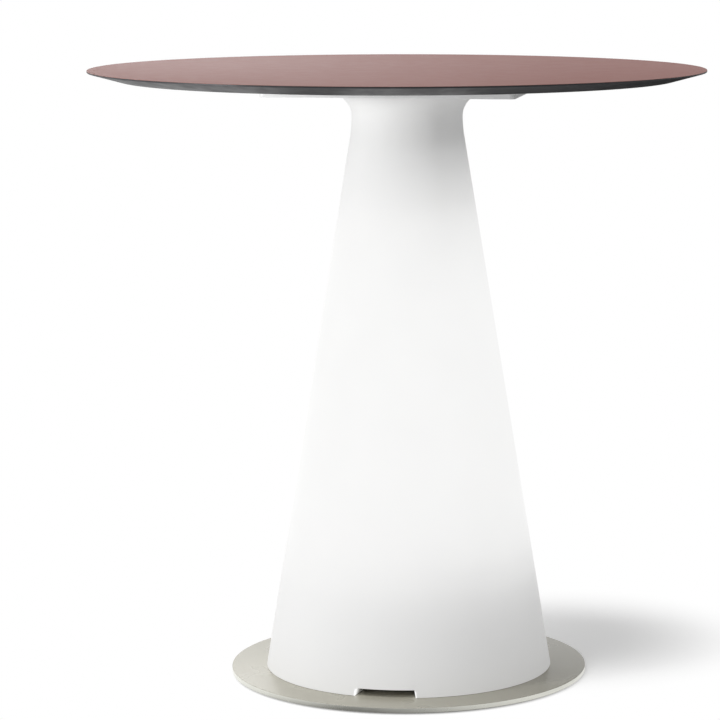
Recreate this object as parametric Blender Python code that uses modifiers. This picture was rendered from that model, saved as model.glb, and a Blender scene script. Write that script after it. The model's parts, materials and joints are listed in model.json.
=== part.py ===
"""Light-up pedestal table: a laminate top on a steel post, inside a lit moulded cone, on a steel disc.

Metres, +Z up. The origin is on the floor under the middle of the top, and the cable notch faces -Y.
"""

import math

import bmesh
import bpy
from mathutils import Matrix, Vector

# Gaps and overruns
FIT_GAP = 0.0003
CUT_OVERRUN = 0.002
MERGE_DISTANCE = 0.00001
HOLE_SEGMENTS = 12
SCREW_SEGMENTS = 12

# Whole table
TABLE_HEIGHT = 0.740
COLUMN_OFFSET_X = 0.0115  # the photographed top sits this far off the column's axis

# Laminate top
TOP_RADIUS = 0.3712
TOP_THICKNESS = 0.0120
TOP_EDGE_LAND = 0.0008
TOP_UNDER_BEVEL = 0.040
TOP_SEGMENTS = 96

# Steel disc
FLOOR_GAP = 0.0025
DISC_MARGIN = 0.0426
DISC_THICKNESS = 0.006
DISC_EDGE_BREAK = 0.0005
DISC_SEGMENTS = 96

# Levelling glides
GLIDE_COUNT = 4
GLIDE_INSET = 0.0278
GLIDE_PAD_RADIUS = 0.014
GLIDE_PAD_EDGE_BREAK = 0.0006
GLIDE_SOCKET_SLACK = 0.0005
GLIDE_FLOOR_SHARE = 0.4
GLIDE_STUD_RADIUS = 0.0037
GLIDE_HEAD_RADIUS = 0.0070
GLIDE_BORE_DEPTH = 0.0045
GLIDE_TIP_GAP = 0.0005

# Moulded cone
CONE_WALL = 0.0035
CONE_FOOT_RADIUS = 0.1752
CONE_FOOT_BREAK = 0.0015
CONE_NECK_RADIUS = 0.0668
CONE_NECK_BEND = 0.150
CONE_FLARE_BEND = 0.026
CONE_LIP_RADIUS = 0.0900
CONE_LIP_EDGE = 0.0022
CONE_SEGMENTS = 60
CONE_FLARE_STEPS = 5
CONE_NECK_STEPS = 3

# Cable notch and the short tunnel behind it
NOTCH_FOOT_WIDTH = 0.074
NOTCH_HEIGHT = 0.009
NOTCH_TAPER_SHARE = 0.95
TUNNEL_DEPTH = 0.027
TUNNEL_WALL = 0.003
TUNNEL_STEPS = 8

# Steel post
TUBE_RADIUS = 0.024
TUBE_WALL = 0.0025
BASE_FLANGE_RADIUS = 0.060
BASE_FLANGE_THICKNESS = 0.006
BASE_SPIGOT_LENGTH = 0.030
HEAD_FLANGE_CLEARANCE = 0.0012
HEAD_FLANGE_THICKNESS = 0.005
HEAD_SPIGOT_LENGTH = 0.020
FLANGE_EDGE_BREAK = 0.0008
POST_SEGMENTS = 36
ROD_RADIUS = 0.006
ROD_THREAD_DEPTH = 0.026
ROD_HOLE_SLACK = 0.0004
ROD_ABOVE_NUT = 0.002
WASHER_RADIUS = 0.012
WASHER_THICKNESS = 0.0015
NUT_ACROSS_CORNERS = 0.0219
NUT_HEIGHT = 0.006

# Head plate, a light casting with pockets between its ribs
PLATE_WIDTH = 0.300
PLATE_DEPTH = 0.0140
PLATE_CORNER_RADIUS = 0.006
PLATE_DECK = 0.0045
PLATE_RIM = 0.004
PLATE_RIB = 0.006
PLATE_HUB_MARGIN = 0.004
PLATE_HUB_HOLE_RADIUS = 0.018
PLATE_CORNER_BOSS = 0.030
PLATE_CORNER_STEPS = 4
PLATE_HUB_STEPS = 10

# Screws and bolts
PLATE_BOLT_CIRCLE_RADIUS = 0.050
PLATE_BOLT_RADIUS = 0.004
PLATE_BOLT_HEAD_RADIUS = 0.0065
PLATE_BOLT_HEAD_HEIGHT = 0.0045
BASE_BOLT_INSET = 0.016
BASE_BOLT_RADIUS = 0.004
BASE_BOLT_HEAD_RADIUS = 0.0075
BASE_BOLT_HEAD_HEIGHT = 0.0036
BASE_BOLT_SETBACK = 0.0004
TOP_SCREW_INSET = 0.0175
TOP_SCREW_RADIUS = 0.0025
TOP_SCREW_HEAD_RADIUS = 0.0046
TOP_SCREW_HEAD_HEIGHT = 0.003
TOP_SCREW_BITE = 0.007
SCREW_SLACK = 0.0003
HEAD_SLACK = 0.0005

# Rubber ring between the cone's lip and the head plate
GASKET_THICKNESS = 0.0010
GASKET_WIDTH = 0.0045

# Brackets that centre the cone's foot
LOCATOR_COUNT = 3
LOCATOR_FOOT = 0.020
LOCATOR_HEIGHT = 0.016
LOCATOR_THICKNESS = 0.002
LOCATOR_WIDTH = 0.014
LOCATOR_GAP = 0.0008
LOCATOR_SCREW_RADIUS = 0.002
LOCATOR_SCREW_HEAD_RADIUS = 0.0038
LOCATOR_SCREW_HEAD_HEIGHT = 0.0016
LOCATOR_SCREW_BITE = 0.003

# Light carrier, a square sleeve round the post
CARRIER_START = 0.092
CARRIER_HEAD_ROOM = 0.0876
CARRIER_CLEARANCE = 0.004
CARRIER_WALL = 0.002
SEAT_MARGIN = 0.009
SEAT_THICKNESS = 0.004
SEAT_PLUG_HEIGHT = 0.008
SEAT_HUB_WALL = 0.008
SEAT_HUB_LENGTH = 0.014
SET_SCREW_RADIUS = 0.0025

# Light boards
BOARD_COUNT = 4
BOARD_WIDTH = 0.018
BOARD_THICKNESS = 0.0016
BOARD_HEAD_ROOM = 0.018
CHIP_COUNT = 16
CHIP_SIZE = 0.0032
CHIP_HEIGHT = 0.0008
CHIP_SINK = 0.0004
LINK_MARGIN = 0.008
LINK_THICKNESS = 0.0016
CONNECTOR_SIZE = (0.0060, 0.0090, 0.0060)
CONNECTOR_SIDE = 0.0195

# Power supply behind the notch
DRIVER_LENGTH = 0.112
DRIVER_WIDTH = 0.042
DRIVER_HEIGHT = 0.028
DRIVER_WALL = 0.0022
DRIVER_LID = 0.0022
DRIVER_CLEARANCE = 0.0074
DRIVER_EAR_LENGTH = 0.011
DRIVER_EAR_WIDTH = 0.016
DRIVER_EAR_THICKNESS = 0.003
DRIVER_RAIL_HEIGHT = 0.003
DRIVER_RAIL_WIDTH = 0.004
DRIVER_RAIL_SPREAD = 0.070
DRIVER_SCREW_RADIUS = 0.002
DRIVER_SCREW_HEAD_RADIUS = 0.0038
DRIVER_SCREW_HEAD_HEIGHT = 0.0022
DRIVER_SCREW_BITE = 0.004
DRIVER_BOARD_THICKNESS = 0.0016
DRIVER_BOARD_MARGIN = 0.0028
TRANSFORMER_SIZE = (0.022, 0.020, 0.013)
TRANSFORMER_SIDE = 0.020
CAPACITOR_RADIUS = 0.005
CAPACITOR_HEIGHT = 0.014
CAPACITOR_SIDE = 0.028

# Cord gland on the driver's front, and the lead to the lights
GLAND_BORE_RADIUS = 0.0036
GLAND_THREAD_RADIUS = 0.0058
GLAND_FLANGE_RADIUS = 0.0088
GLAND_FLANGE_THICKNESS = 0.0035
GLAND_DOME_RADIUS = 0.0070
GLAND_DOME_LENGTH = 0.012
GLAND_INSIDE_LENGTH = 0.008
GLAND_NUT_THICKNESS = 0.004
GLAND_NUT_WALL = 0.0022
GLAND_NUT_CLEARANCE = 0.0007
LEAD_RADIUS = 0.0021
LEAD_EXIT_DROP = 0.008
LEAD_INSIDE_LENGTH = 0.005
LEAD_EXIT_STRAIGHT = 0.012
LEAD_CLEAR_OF_SEAT = 0.016
LEAD_RESOLUTION = 8

# Places and sizes that the ones above give
DISC_TOP = FLOOR_GAP + DISC_THICKNESS
FLOOR_OF_COLUMN = DISC_TOP + FIT_GAP
TOP_UNDERSIDE = TABLE_HEIGHT - TOP_THICKNESS
PLATE_TOP = TOP_UNDERSIDE - FIT_GAP
PLATE_BOTTOM = PLATE_TOP - PLATE_DEPTH
HEAD_FLANGE_TOP = PLATE_BOTTOM - FIT_GAP
HEAD_FLANGE_BOTTOM = HEAD_FLANGE_TOP - HEAD_FLANGE_THICKNESS
LIP_TOP = PLATE_BOTTOM - GASKET_THICKNESS - 2 * FIT_GAP
BASE_FLANGE_TOP = FLOOR_OF_COLUMN + BASE_FLANGE_THICKNESS
DISC_RADIUS = CONE_FOOT_RADIUS + DISC_MARGIN
PLATE_HUB_RADIUS = CONE_LIP_RADIUS + PLATE_HUB_MARGIN
FLARE_MIDDLE_RADIUS = CONE_NECK_RADIUS + CONE_FLARE_BEND
FLARE_REACH = math.sqrt(CONE_FLARE_BEND**2 - (FLARE_MIDDLE_RADIUS - CONE_LIP_RADIUS) ** 2)
NECK_HEIGHT = LIP_TOP - CONE_LIP_EDGE - FLARE_REACH
SPIGOT_RADIUS = TUBE_RADIUS - TUBE_WALL - FIT_GAP
SEAT_TOP = DISC_TOP + CARRIER_START
SEAT_HUB_RADIUS = TUBE_RADIUS + SEAT_HUB_WALL
CARRIER_BOTTOM = SEAT_TOP + FIT_GAP
CARRIER_TOP = HEAD_FLANGE_BOTTOM - CARRIER_HEAD_ROOM
CARRIER_HALF = TUBE_RADIUS + CARRIER_CLEARANCE + CARRIER_WALL
LINK_BOTTOM = SEAT_TOP + FIT_GAP
LINK_TOP = LINK_BOTTOM + LINK_THICKNESS
BOARD_BOTTOM = LINK_TOP + FIT_GAP
BOARD_TOP = CARRIER_TOP - BOARD_HEAD_ROOM
TUNNEL_END_RADIUS = CONE_FOOT_RADIUS - TUNNEL_DEPTH
GLAND_LENGTH = FIT_GAP + GLAND_FLANGE_THICKNESS + GLAND_DOME_LENGTH
DRIVER_FRONT = DRIVER_CLEARANCE + GLAND_LENGTH - TUNNEL_END_RADIUS
DRIVER_BACK = DRIVER_FRONT + DRIVER_WIDTH
DRIVER_MIDDLE = DRIVER_FRONT + DRIVER_WIDTH / 2
DRIVER_FLOOR = FLOOR_OF_COLUMN + DRIVER_WALL
DRIVER_TOP = FLOOR_OF_COLUMN + DRIVER_HEIGHT
GLAND_NUT_RADIUS = GLAND_THREAD_RADIUS + FIT_GAP + GLAND_NUT_WALL
GLAND_AXIS_HEIGHT = DRIVER_FLOOR + GLAND_NUT_CLEARANCE + GLAND_NUT_RADIUS


def clear_scene():
    for obj in list(bpy.data.objects):
        bpy.data.objects.remove(obj, do_unlink=True)


def new_collection(name):
    collection = bpy.data.collections.new(name)
    bpy.context.scene.collection.children.link(collection)
    return collection


def material(name, colour, roughness, metallic=0.0, glow=0.0):
    """A plain Principled material; glow is its emission strength."""
    made = bpy.data.materials.new(name)
    made.use_nodes = True
    made.diffuse_color = (*colour, 1.0)
    shader = made.node_tree.nodes["Principled BSDF"]
    shader.inputs["Base Color"].default_value = (*colour, 1.0)
    shader.inputs["Roughness"].default_value = roughness
    shader.inputs["Metallic"].default_value = metallic
    if glow:
        shader.inputs["Emission Color"].default_value = (*colour, 1.0)
        shader.inputs["Emission Strength"].default_value = glow
    return made


def add_object(name, mesh, finish=None, parent=None):
    """A visible piece with a finish, or a hidden cutter without one."""
    obj = bpy.data.objects.new(name, mesh)
    if finish:
        PIECES.objects.link(obj)
        mesh.materials.clear()
        mesh.materials.append(finish)
        mesh.shade_smooth()
        mesh.set_sharp_from_angle(angle=math.radians(30))
    else:
        CUTTERS.objects.link(obj)
        obj.hide_render = True
        obj.display_type = "WIRE"
    obj.parent = parent
    return obj


def baked(obj, name):
    """The evaluated mesh of obj, which is then removed."""
    bpy.context.view_layer.update()
    graph = bpy.context.evaluated_depsgraph_get()
    mesh = bpy.data.meshes.new_from_object(obj.evaluated_get(graph))
    mesh.transform(obj.matrix_world)
    source = obj.data
    bpy.data.objects.remove(obj, do_unlink=True)
    bpy.data.batch_remove([source])
    mesh.name = name
    return mesh


def turned_mesh(name, profile, segments, closed=False):
    """A profile of (radius, height) points, run down its outer side, turned about Z."""
    mesh = bpy.data.meshes.new(name)
    count = len(profile)
    edges = [(i, i + 1) for i in range(count - 1)]
    if closed:
        edges.append((count - 1, 0))
    mesh.from_pydata([(r, 0.0, z) for r, z in profile], edges, [])
    obj = bpy.data.objects.new(name, mesh)
    CUTTERS.objects.link(obj)
    turn = obj.modifiers.new("Turn", "SCREW")
    turn.steps = turn.render_steps = segments
    turn.use_merge_vertices = True
    turn.merge_threshold = MERGE_DISTANCE
    return baked(obj, name)


def box_mesh(name, size, centre=(0.0, 0.0, 0.0)):
    form = bmesh.new()
    bmesh.ops.create_cube(form, size=1.0)
    bmesh.ops.scale(form, vec=Vector(size), verts=form.verts)
    bmesh.ops.translate(form, vec=Vector(centre), verts=form.verts)
    mesh = bpy.data.meshes.new(name)
    form.to_mesh(mesh)
    form.free()
    return mesh


def rod_mesh(name, radius, bottom, top, segments=HOLE_SEGMENTS):
    """An upright cylinder between two heights."""
    form = bmesh.new()
    bmesh.ops.create_cone(
        form, cap_ends=True, segments=segments, radius1=radius, radius2=radius, depth=top - bottom
    )
    bmesh.ops.translate(form, vec=(0.0, 0.0, (bottom + top) / 2), verts=form.verts)
    mesh = bpy.data.meshes.new(name)
    form.to_mesh(mesh)
    form.free()
    return mesh


def outline_mesh(name, loops, bottom, top):
    """Flat outlines, the later ones holes in the first, extruded between two heights."""
    curve = bpy.data.curves.new(name, "CURVE")
    curve.dimensions = "2D"
    curve.fill_mode = "BOTH"
    curve.extrude = (top - bottom) / 2
    for loop in loops:
        spline = curve.splines.new("POLY")
        spline.points.add(len(loop) - 1)
        for point, (x, y) in zip(spline.points, loop):
            point.co = (x, y, 0.0, 1.0)
        spline.use_cyclic_u = True
    obj = bpy.data.objects.new(name, curve)
    CUTTERS.objects.link(obj)
    obj.location.z = (top + bottom) / 2
    mesh = baked(obj, name)
    form = bmesh.new()
    form.from_mesh(mesh)
    bmesh.ops.remove_doubles(form, verts=form.verts, dist=MERGE_DISTANCE)
    form.to_mesh(mesh)
    form.free()
    return mesh


def combine(obj, other, operation):
    """Adds a live Boolean of obj with a hidden helper."""
    other.parent = obj.parent
    step = obj.modifiers.new(other.name, "BOOLEAN")
    step.operation = operation
    step.object = other


def cut(obj, mesh, location=(0.0, 0.0, 0.0)):
    cutter = add_object(mesh.name, mesh)
    cutter.location = location
    combine(obj, cutter, "DIFFERENCE")


def join(obj, mesh):
    combine(obj, add_object(mesh.name, mesh), "UNION")


def drill(obj, name, radius, bottom, top, places):
    """The same upright hole at each of several places."""
    for i, (x, y) in enumerate(places):
        cut(obj, rod_mesh(f"{name}_{i + 1}", radius, bottom, top), (x, y, 0.0))


def put(name, mesh, finish, location=(0.0, 0.0, 0.0)):
    """A finished piece placed from the column's axis."""
    piece = add_object(name, mesh, finish, COLUMN)
    piece.location = location
    return piece


def ring_places(count, radius, first_angle):
    """Points spread evenly round a circle."""
    step = math.tau / count
    return [
        (radius * math.cos(first_angle + i * step), radius * math.sin(first_angle + i * step))
        for i in range(count)
    ]


def ring(inner, outer, bottom, top):
    """The closed profile of a flat ring or a tube."""
    return [(outer, top), (outer, bottom), (inner, bottom), (inner, top)]


def arc(centre, radius, start, end, steps):
    """Points along an arc, ends included."""
    return [
        (
            centre[0] + radius * math.cos(start + (end - start) * i / steps),
            centre[1] + radius * math.sin(start + (end - start) * i / steps),
        )
        for i in range(steps + 1)
    ]


def screw_profile(shank_radius, shank_length, head_radius, head_height):
    """A cylinder-headed screw that points up, with its head's top face at height 0."""
    return [
        (0.0, shank_length + head_height),
        (shank_radius, shank_length + head_height),
        (shank_radius, head_height),
        (head_radius, head_height),
        (head_radius, 0.0),
        (0.0, 0.0),
    ]


def make_table_top():
    edge_top = TABLE_HEIGHT
    profile = [
        (0.0, edge_top),
        (TOP_RADIUS, edge_top),
        (TOP_RADIUS, edge_top - TOP_EDGE_LAND),
        (TOP_RADIUS - TOP_UNDER_BEVEL, TOP_UNDERSIDE),
        (0.0, TOP_UNDERSIDE),
    ]
    top = add_object("table_top", turned_mesh("table_top", profile, TOP_SEGMENTS), LAMINATE)
    hole_top = TOP_UNDERSIDE + TOP_SCREW_BITE + FIT_GAP
    places = [(COLUMN_OFFSET_X + x, y) for x, y in top_screw_places()]
    drill(top, "top_hole", TOP_SCREW_RADIUS + SCREW_SLACK, TOP_UNDERSIDE - CUT_OVERRUN, hole_top, places)


def top_screw_places():
    reach = PLATE_WIDTH / 2 - TOP_SCREW_INSET
    return [(reach, reach), (-reach, reach), (-reach, -reach), (reach, -reach)]


def plate_bolt_places():
    return ring_places(4, PLATE_BOLT_CIRCLE_RADIUS, math.pi / 4)


def base_bolt_places():
    return ring_places(4, BASE_FLANGE_RADIUS - BASE_BOLT_INSET, math.pi / 4)


def rounded_square(width, radius, steps):
    reach = width / 2 - radius
    points = []
    for i, (x, y) in enumerate([(reach, reach), (-reach, reach), (-reach, -reach), (reach, -reach)]):
        points += arc((x, y), radius, i * math.pi / 2, (i + 1) * math.pi / 2, steps)
    return points


def pocket_outline():
    """One side's pocket between two diagonal ribs, the hub and the rim, drawn towards +X."""
    rim = PLATE_WIDTH / 2 - PLATE_RIM
    half_rib = PLATE_RIB / 2 * math.sqrt(2)
    corner = PLATE_WIDTH / 2 - PLATE_CORNER_BOSS
    spread = math.pi / 4 - math.asin(PLATE_RIB / 2 / PLATE_HUB_RADIUS)
    hub = arc((0.0, 0.0), PLATE_HUB_RADIUS, spread, -spread, PLATE_HUB_STEPS)
    side = corner - half_rib
    return hub + [(corner, -side), (rim, -side), (rim, side), (corner, side)]


def make_top_plate():
    outline = rounded_square(PLATE_WIDTH, PLATE_CORNER_RADIUS, PLATE_CORNER_STEPS)
    plate = put("top_plate", outline_mesh("top_plate", [outline], PLATE_BOTTOM, PLATE_TOP), CAST_PAINT)
    below = PLATE_BOTTOM - CUT_OVERRUN
    above = PLATE_TOP + CUT_OVERRUN
    for i in range(4):
        pocket = outline_mesh(f"pocket_{i + 1}", [pocket_outline()], below, PLATE_TOP - PLATE_DECK)
        pocket.transform(Matrix.Rotation(i * math.pi / 2, 4, "Z"))
        cut(plate, pocket)
    cut(plate, rod_mesh("hub_hole", PLATE_HUB_HOLE_RADIUS, below, above, 2 * SCREW_SEGMENTS))
    places = plate_bolt_places()
    seat = PLATE_TOP - PLATE_BOLT_HEAD_HEIGHT - 2 * FIT_GAP
    drill(plate, "plate_bolt_hole", PLATE_BOLT_RADIUS + SCREW_SLACK, below, above, places)
    drill(plate, "plate_bolt_seat", PLATE_BOLT_HEAD_RADIUS + HEAD_SLACK, seat, above, places)
    places = top_screw_places()
    seat = PLATE_BOTTOM + TOP_SCREW_HEAD_HEIGHT + 2 * FIT_GAP
    drill(plate, "plate_screw_hole", TOP_SCREW_RADIUS + SCREW_SLACK, below, above, places)
    drill(plate, "plate_screw_seat", TOP_SCREW_HEAD_RADIUS + HEAD_SLACK, below, seat, places)


def make_plate_fasteners():
    head_bottom = PLATE_TOP - PLATE_BOLT_HEAD_HEIGHT - FIT_GAP
    shank_end = HEAD_FLANGE_BOTTOM + FIT_GAP
    profile = [
        (0.0, PLATE_TOP - FIT_GAP),
        (PLATE_BOLT_HEAD_RADIUS, PLATE_TOP - FIT_GAP),
        (PLATE_BOLT_HEAD_RADIUS, head_bottom),
        (PLATE_BOLT_RADIUS, head_bottom),
        (PLATE_BOLT_RADIUS, shank_end),
        (0.0, shank_end),
    ]
    bolt = turned_mesh("plate_bolt", profile, SCREW_SEGMENTS)
    for i, (x, y) in enumerate(plate_bolt_places()):
        put(f"plate_bolt_{i + 1}", bolt, ZINC, (x, y, 0.0))
    seat = PLATE_BOTTOM + FIT_GAP
    shank = TOP_UNDERSIDE + TOP_SCREW_BITE - seat - TOP_SCREW_HEAD_HEIGHT
    profile = screw_profile(TOP_SCREW_RADIUS, shank, TOP_SCREW_HEAD_RADIUS, TOP_SCREW_HEAD_HEIGHT)
    screw = turned_mesh("top_screw", profile, SCREW_SEGMENTS)
    for i, (x, y) in enumerate(top_screw_places()):
        put(f"top_screw_{i + 1}", screw, ZINC, (x, y, seat))


def make_base_disc():
    edge = DISC_RADIUS - DISC_EDGE_BREAK
    profile = [
        (0.0, DISC_TOP),
        (edge, DISC_TOP),
        (DISC_RADIUS, DISC_TOP - DISC_EDGE_BREAK),
        (DISC_RADIUS, FLOOR_GAP + DISC_EDGE_BREAK),
        (edge, FLOOR_GAP),
        (0.0, FLOOR_GAP),
    ]
    disc = put("base_disc", turned_mesh("base_disc", profile, DISC_SEGMENTS), GREIGE_PAINT)
    below = FLOOR_GAP - CUT_OVERRUN
    above = DISC_TOP + CUT_OVERRUN
    bore_top = FLOOR_GAP + GLIDE_BORE_DEPTH
    drill(disc, "glide_bore", GLIDE_STUD_RADIUS + SCREW_SLACK, below, bore_top, glide_places())
    for i, (x, y) in enumerate(base_bolt_places()):
        cut(disc, turned_mesh(f"base_bolt_hole_{i + 1}", countersink_profile(), HOLE_SEGMENTS), (x, y, 0.0))
    blind = DISC_TOP - DRIVER_SCREW_BITE - FIT_GAP
    drill(disc, "driver_hole", DRIVER_SCREW_RADIUS + SCREW_SLACK, blind, above, driver_screw_places())
    blind = DISC_TOP - LOCATOR_SCREW_BITE - FIT_GAP
    drill(disc, "locator_hole", LOCATOR_SCREW_RADIUS + SCREW_SLACK, blind, above, locator_screw_places())


def countersink_profile():
    """The hole that a countersunk base bolt needs, a slack wider all round."""
    hole = BASE_BOLT_RADIUS + SCREW_SLACK
    sink = BASE_BOLT_HEAD_RADIUS + SCREW_SLACK
    seat = FLOOR_GAP + BASE_BOLT_SETBACK
    return [
        (0.0, DISC_TOP + CUT_OVERRUN),
        (hole, DISC_TOP + CUT_OVERRUN),
        (hole, seat + BASE_BOLT_HEAD_HEIGHT),
        (sink, seat),
        (sink, FLOOR_GAP - CUT_OVERRUN),
        (0.0, FLOOR_GAP - CUT_OVERRUN),
    ]


def make_base_bolts():
    seat = FLOOR_GAP + BASE_BOLT_SETBACK
    end = BASE_FLANGE_TOP - FIT_GAP
    profile = [
        (0.0, end),
        (BASE_BOLT_RADIUS, end),
        (BASE_BOLT_RADIUS, seat + BASE_BOLT_HEAD_HEIGHT),
        (BASE_BOLT_HEAD_RADIUS, seat),
        (0.0, seat),
    ]
    bolt = turned_mesh("base_bolt", profile, SCREW_SEGMENTS)
    for i, (x, y) in enumerate(base_bolt_places()):
        put(f"base_bolt_{i + 1}", bolt, ZINC, (x, y, 0.0))


def glide_places():
    return ring_places(GLIDE_COUNT, DISC_RADIUS - GLIDE_INSET, math.pi / GLIDE_COUNT)


def make_glides():
    """Each pad's origin and each stud's origin are on the screw's axis."""
    pad_top = FLOOR_GAP - FIT_GAP
    pad_edge = GLIDE_PAD_RADIUS - GLIDE_PAD_EDGE_BREAK
    socket = GLIDE_HEAD_RADIUS + GLIDE_SOCKET_SLACK
    socket_floor = pad_top * GLIDE_FLOOR_SHARE
    pad = [
        (0.0, socket_floor),
        (socket, socket_floor),
        (socket, pad_top),
        (pad_edge, pad_top),
        (GLIDE_PAD_RADIUS, pad_top - GLIDE_PAD_EDGE_BREAK),
        (GLIDE_PAD_RADIUS, 0.0),
        (0.0, 0.0),
    ]
    head_bottom = socket_floor + FIT_GAP
    stud_top = FLOOR_GAP + GLIDE_BORE_DEPTH - GLIDE_TIP_GAP
    stud = [
        (0.0, stud_top),
        (GLIDE_STUD_RADIUS, stud_top),
        (GLIDE_STUD_RADIUS, pad_top),
        (GLIDE_HEAD_RADIUS, pad_top),
        (GLIDE_HEAD_RADIUS, head_bottom),
        (0.0, head_bottom),
    ]
    pad_mesh = turned_mesh("glide_pad", pad, 2 * SCREW_SEGMENTS)
    stud_mesh = turned_mesh("glide_stud", stud, SCREW_SEGMENTS)
    for i, (x, y) in enumerate(glide_places()):
        put(f"glide_pad_{i + 1}", pad_mesh, GLIDE_PLASTIC, (x, y, 0.0))
        put(f"glide_stud_{i + 1}", stud_mesh, ZINC, (x, y, 0.0))


def flank_angle():
    """The straight flank's lean, so that it runs from the neck's bend to the foot."""
    run = CONE_NECK_RADIUS + CONE_NECK_BEND - CONE_FOOT_RADIUS
    drop = NECK_HEIGHT - FLOOR_OF_COLUMN
    return math.asin(CONE_NECK_BEND / math.hypot(run, drop)) - math.atan2(run, drop)


def flare_radius(height, depth=0.0):
    """Radius of the flare above the neck at a height, depth inside its outer face."""
    bend = CONE_FLARE_BEND + depth
    return FLARE_MIDDLE_RADIUS - math.sqrt(bend**2 - (height - NECK_HEIGHT) ** 2)


def cone_profile(depth):
    """The cone's surface, depth inside its outer face, from the lip to the foot."""
    flare = CONE_FLARE_BEND + depth
    if depth:
        start = math.asin((LIP_TOP - NECK_HEIGHT) / flare)
    else:
        start = math.acos((FLARE_MIDDLE_RADIUS - CONE_LIP_RADIUS) / flare)
    upper = arc((FLARE_MIDDLE_RADIUS, NECK_HEIGHT), flare, math.pi - start, math.pi, CONE_FLARE_STEPS)
    lean = flank_angle()
    bend_middle = (CONE_NECK_RADIUS + CONE_NECK_BEND, NECK_HEIGHT)
    lower = arc(bend_middle, CONE_NECK_BEND + depth, math.pi, math.pi + lean, CONE_NECK_STEPS)
    return upper + lower[1:] + [(cone_radius(FLOOR_OF_COLUMN, depth), FLOOR_OF_COLUMN)]


def cone_radius(height, depth=0.0):
    """Radius of the straight flank at a height, depth inside its outer face."""
    lean = flank_angle()
    return CONE_FOOT_RADIUS - (height - FLOOR_OF_COLUMN) * math.tan(lean) - depth / math.cos(lean)


def sector(inner, outer, half_angle):
    """An outline between two radii, centred on -Y."""
    middle = -math.pi / 2
    outside = arc((0.0, 0.0), outer, middle - half_angle, middle + half_angle, TUNNEL_STEPS)
    inside = arc((0.0, 0.0), inner, middle + half_angle, middle - half_angle, TUNNEL_STEPS)
    return outside + inside


def make_light_column():
    outer = cone_profile(0.0)
    foot_r, foot_z = outer.pop()
    lean = math.tan(flank_angle())
    outer += [
        (foot_r - CONE_FOOT_BREAK * lean, foot_z + CONE_FOOT_BREAK),
        (foot_r - CONE_FOOT_BREAK, foot_z),
    ]
    profile = [(CONE_LIP_RADIUS, LIP_TOP)] + outer + cone_profile(CONE_WALL)[::-1]
    mesh = turned_mesh("light_column", profile, CONE_SEGMENTS, closed=True)
    column = put("light_column", mesh, LIT_PLASTIC)
    half_angle = math.asin(NOTCH_FOOT_WIDTH / 2 / CONE_FOOT_RADIUS)
    notch_top = FLOOR_OF_COLUMN + NOTCH_HEIGHT
    tunnel_top = notch_top + TUNNEL_WALL
    inside_wall = (cone_radius(FLOOR_OF_COLUMN, CONE_WALL) + cone_radius(tunnel_top)) / 2
    walls = sector(TUNNEL_END_RADIUS, inside_wall, half_angle + TUNNEL_WALL / CONE_FOOT_RADIUS)
    join(column, outline_mesh("tunnel", [walls], FLOOR_OF_COLUMN, tunnel_top))
    passage = sector(TUNNEL_END_RADIUS - CUT_OVERRUN, CONE_FOOT_RADIUS + CUT_OVERRUN, half_angle)
    cutter = outline_mesh("passage", [passage], FLOOR_OF_COLUMN - CUT_OVERRUN, notch_top)
    for vertex in cutter.vertices:
        if vertex.co.z > FLOOR_OF_COLUMN:
            vertex.co.x *= NOTCH_TAPER_SHARE
    cut(column, cutter)


def make_column_gasket():
    top = PLATE_BOTTOM - FIT_GAP
    outer = CONE_LIP_RADIUS - FIT_GAP
    profile = ring(outer - GASKET_WIDTH, outer, top - GASKET_THICKNESS, top)
    put("column_gasket", turned_mesh("column_gasket", profile, POST_SEGMENTS, closed=True), RUBBER)


def make_base_flange():
    """The floor of the post: a flange with a spigot that centres the tube and takes the rod's thread."""
    spigot_top = BASE_FLANGE_TOP + BASE_SPIGOT_LENGTH
    bore = ROD_RADIUS + ROD_HOLE_SLACK
    bore_floor = spigot_top - ROD_THREAD_DEPTH - FIT_GAP
    profile = [
        (0.0, bore_floor),
        (bore, bore_floor),
        (bore, spigot_top),
        (SPIGOT_RADIUS, spigot_top),
        (SPIGOT_RADIUS, BASE_FLANGE_TOP),
        (BASE_FLANGE_RADIUS - FLANGE_EDGE_BREAK, BASE_FLANGE_TOP),
        (BASE_FLANGE_RADIUS, BASE_FLANGE_TOP - FLANGE_EDGE_BREAK),
        (BASE_FLANGE_RADIUS, FLOOR_OF_COLUMN),
        (0.0, FLOOR_OF_COLUMN),
    ]
    flange = put("base_flange", turned_mesh("base_flange", profile, POST_SEGMENTS), BLACK_STEEL)
    below = FLOOR_OF_COLUMN - CUT_OVERRUN
    above = BASE_FLANGE_TOP + CUT_OVERRUN
    drill(flange, "flange_hole", BASE_BOLT_RADIUS + SCREW_SLACK, below, above, base_bolt_places())


def make_centre_tube():
    bottom = BASE_FLANGE_TOP + FIT_GAP
    top = HEAD_FLANGE_BOTTOM - FIT_GAP
    profile = ring(TUBE_RADIUS - TUBE_WALL, TUBE_RADIUS, bottom, top)
    put("centre_tube", turned_mesh("centre_tube", profile, POST_SEGMENTS, closed=True), BLACK_STEEL)


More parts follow.
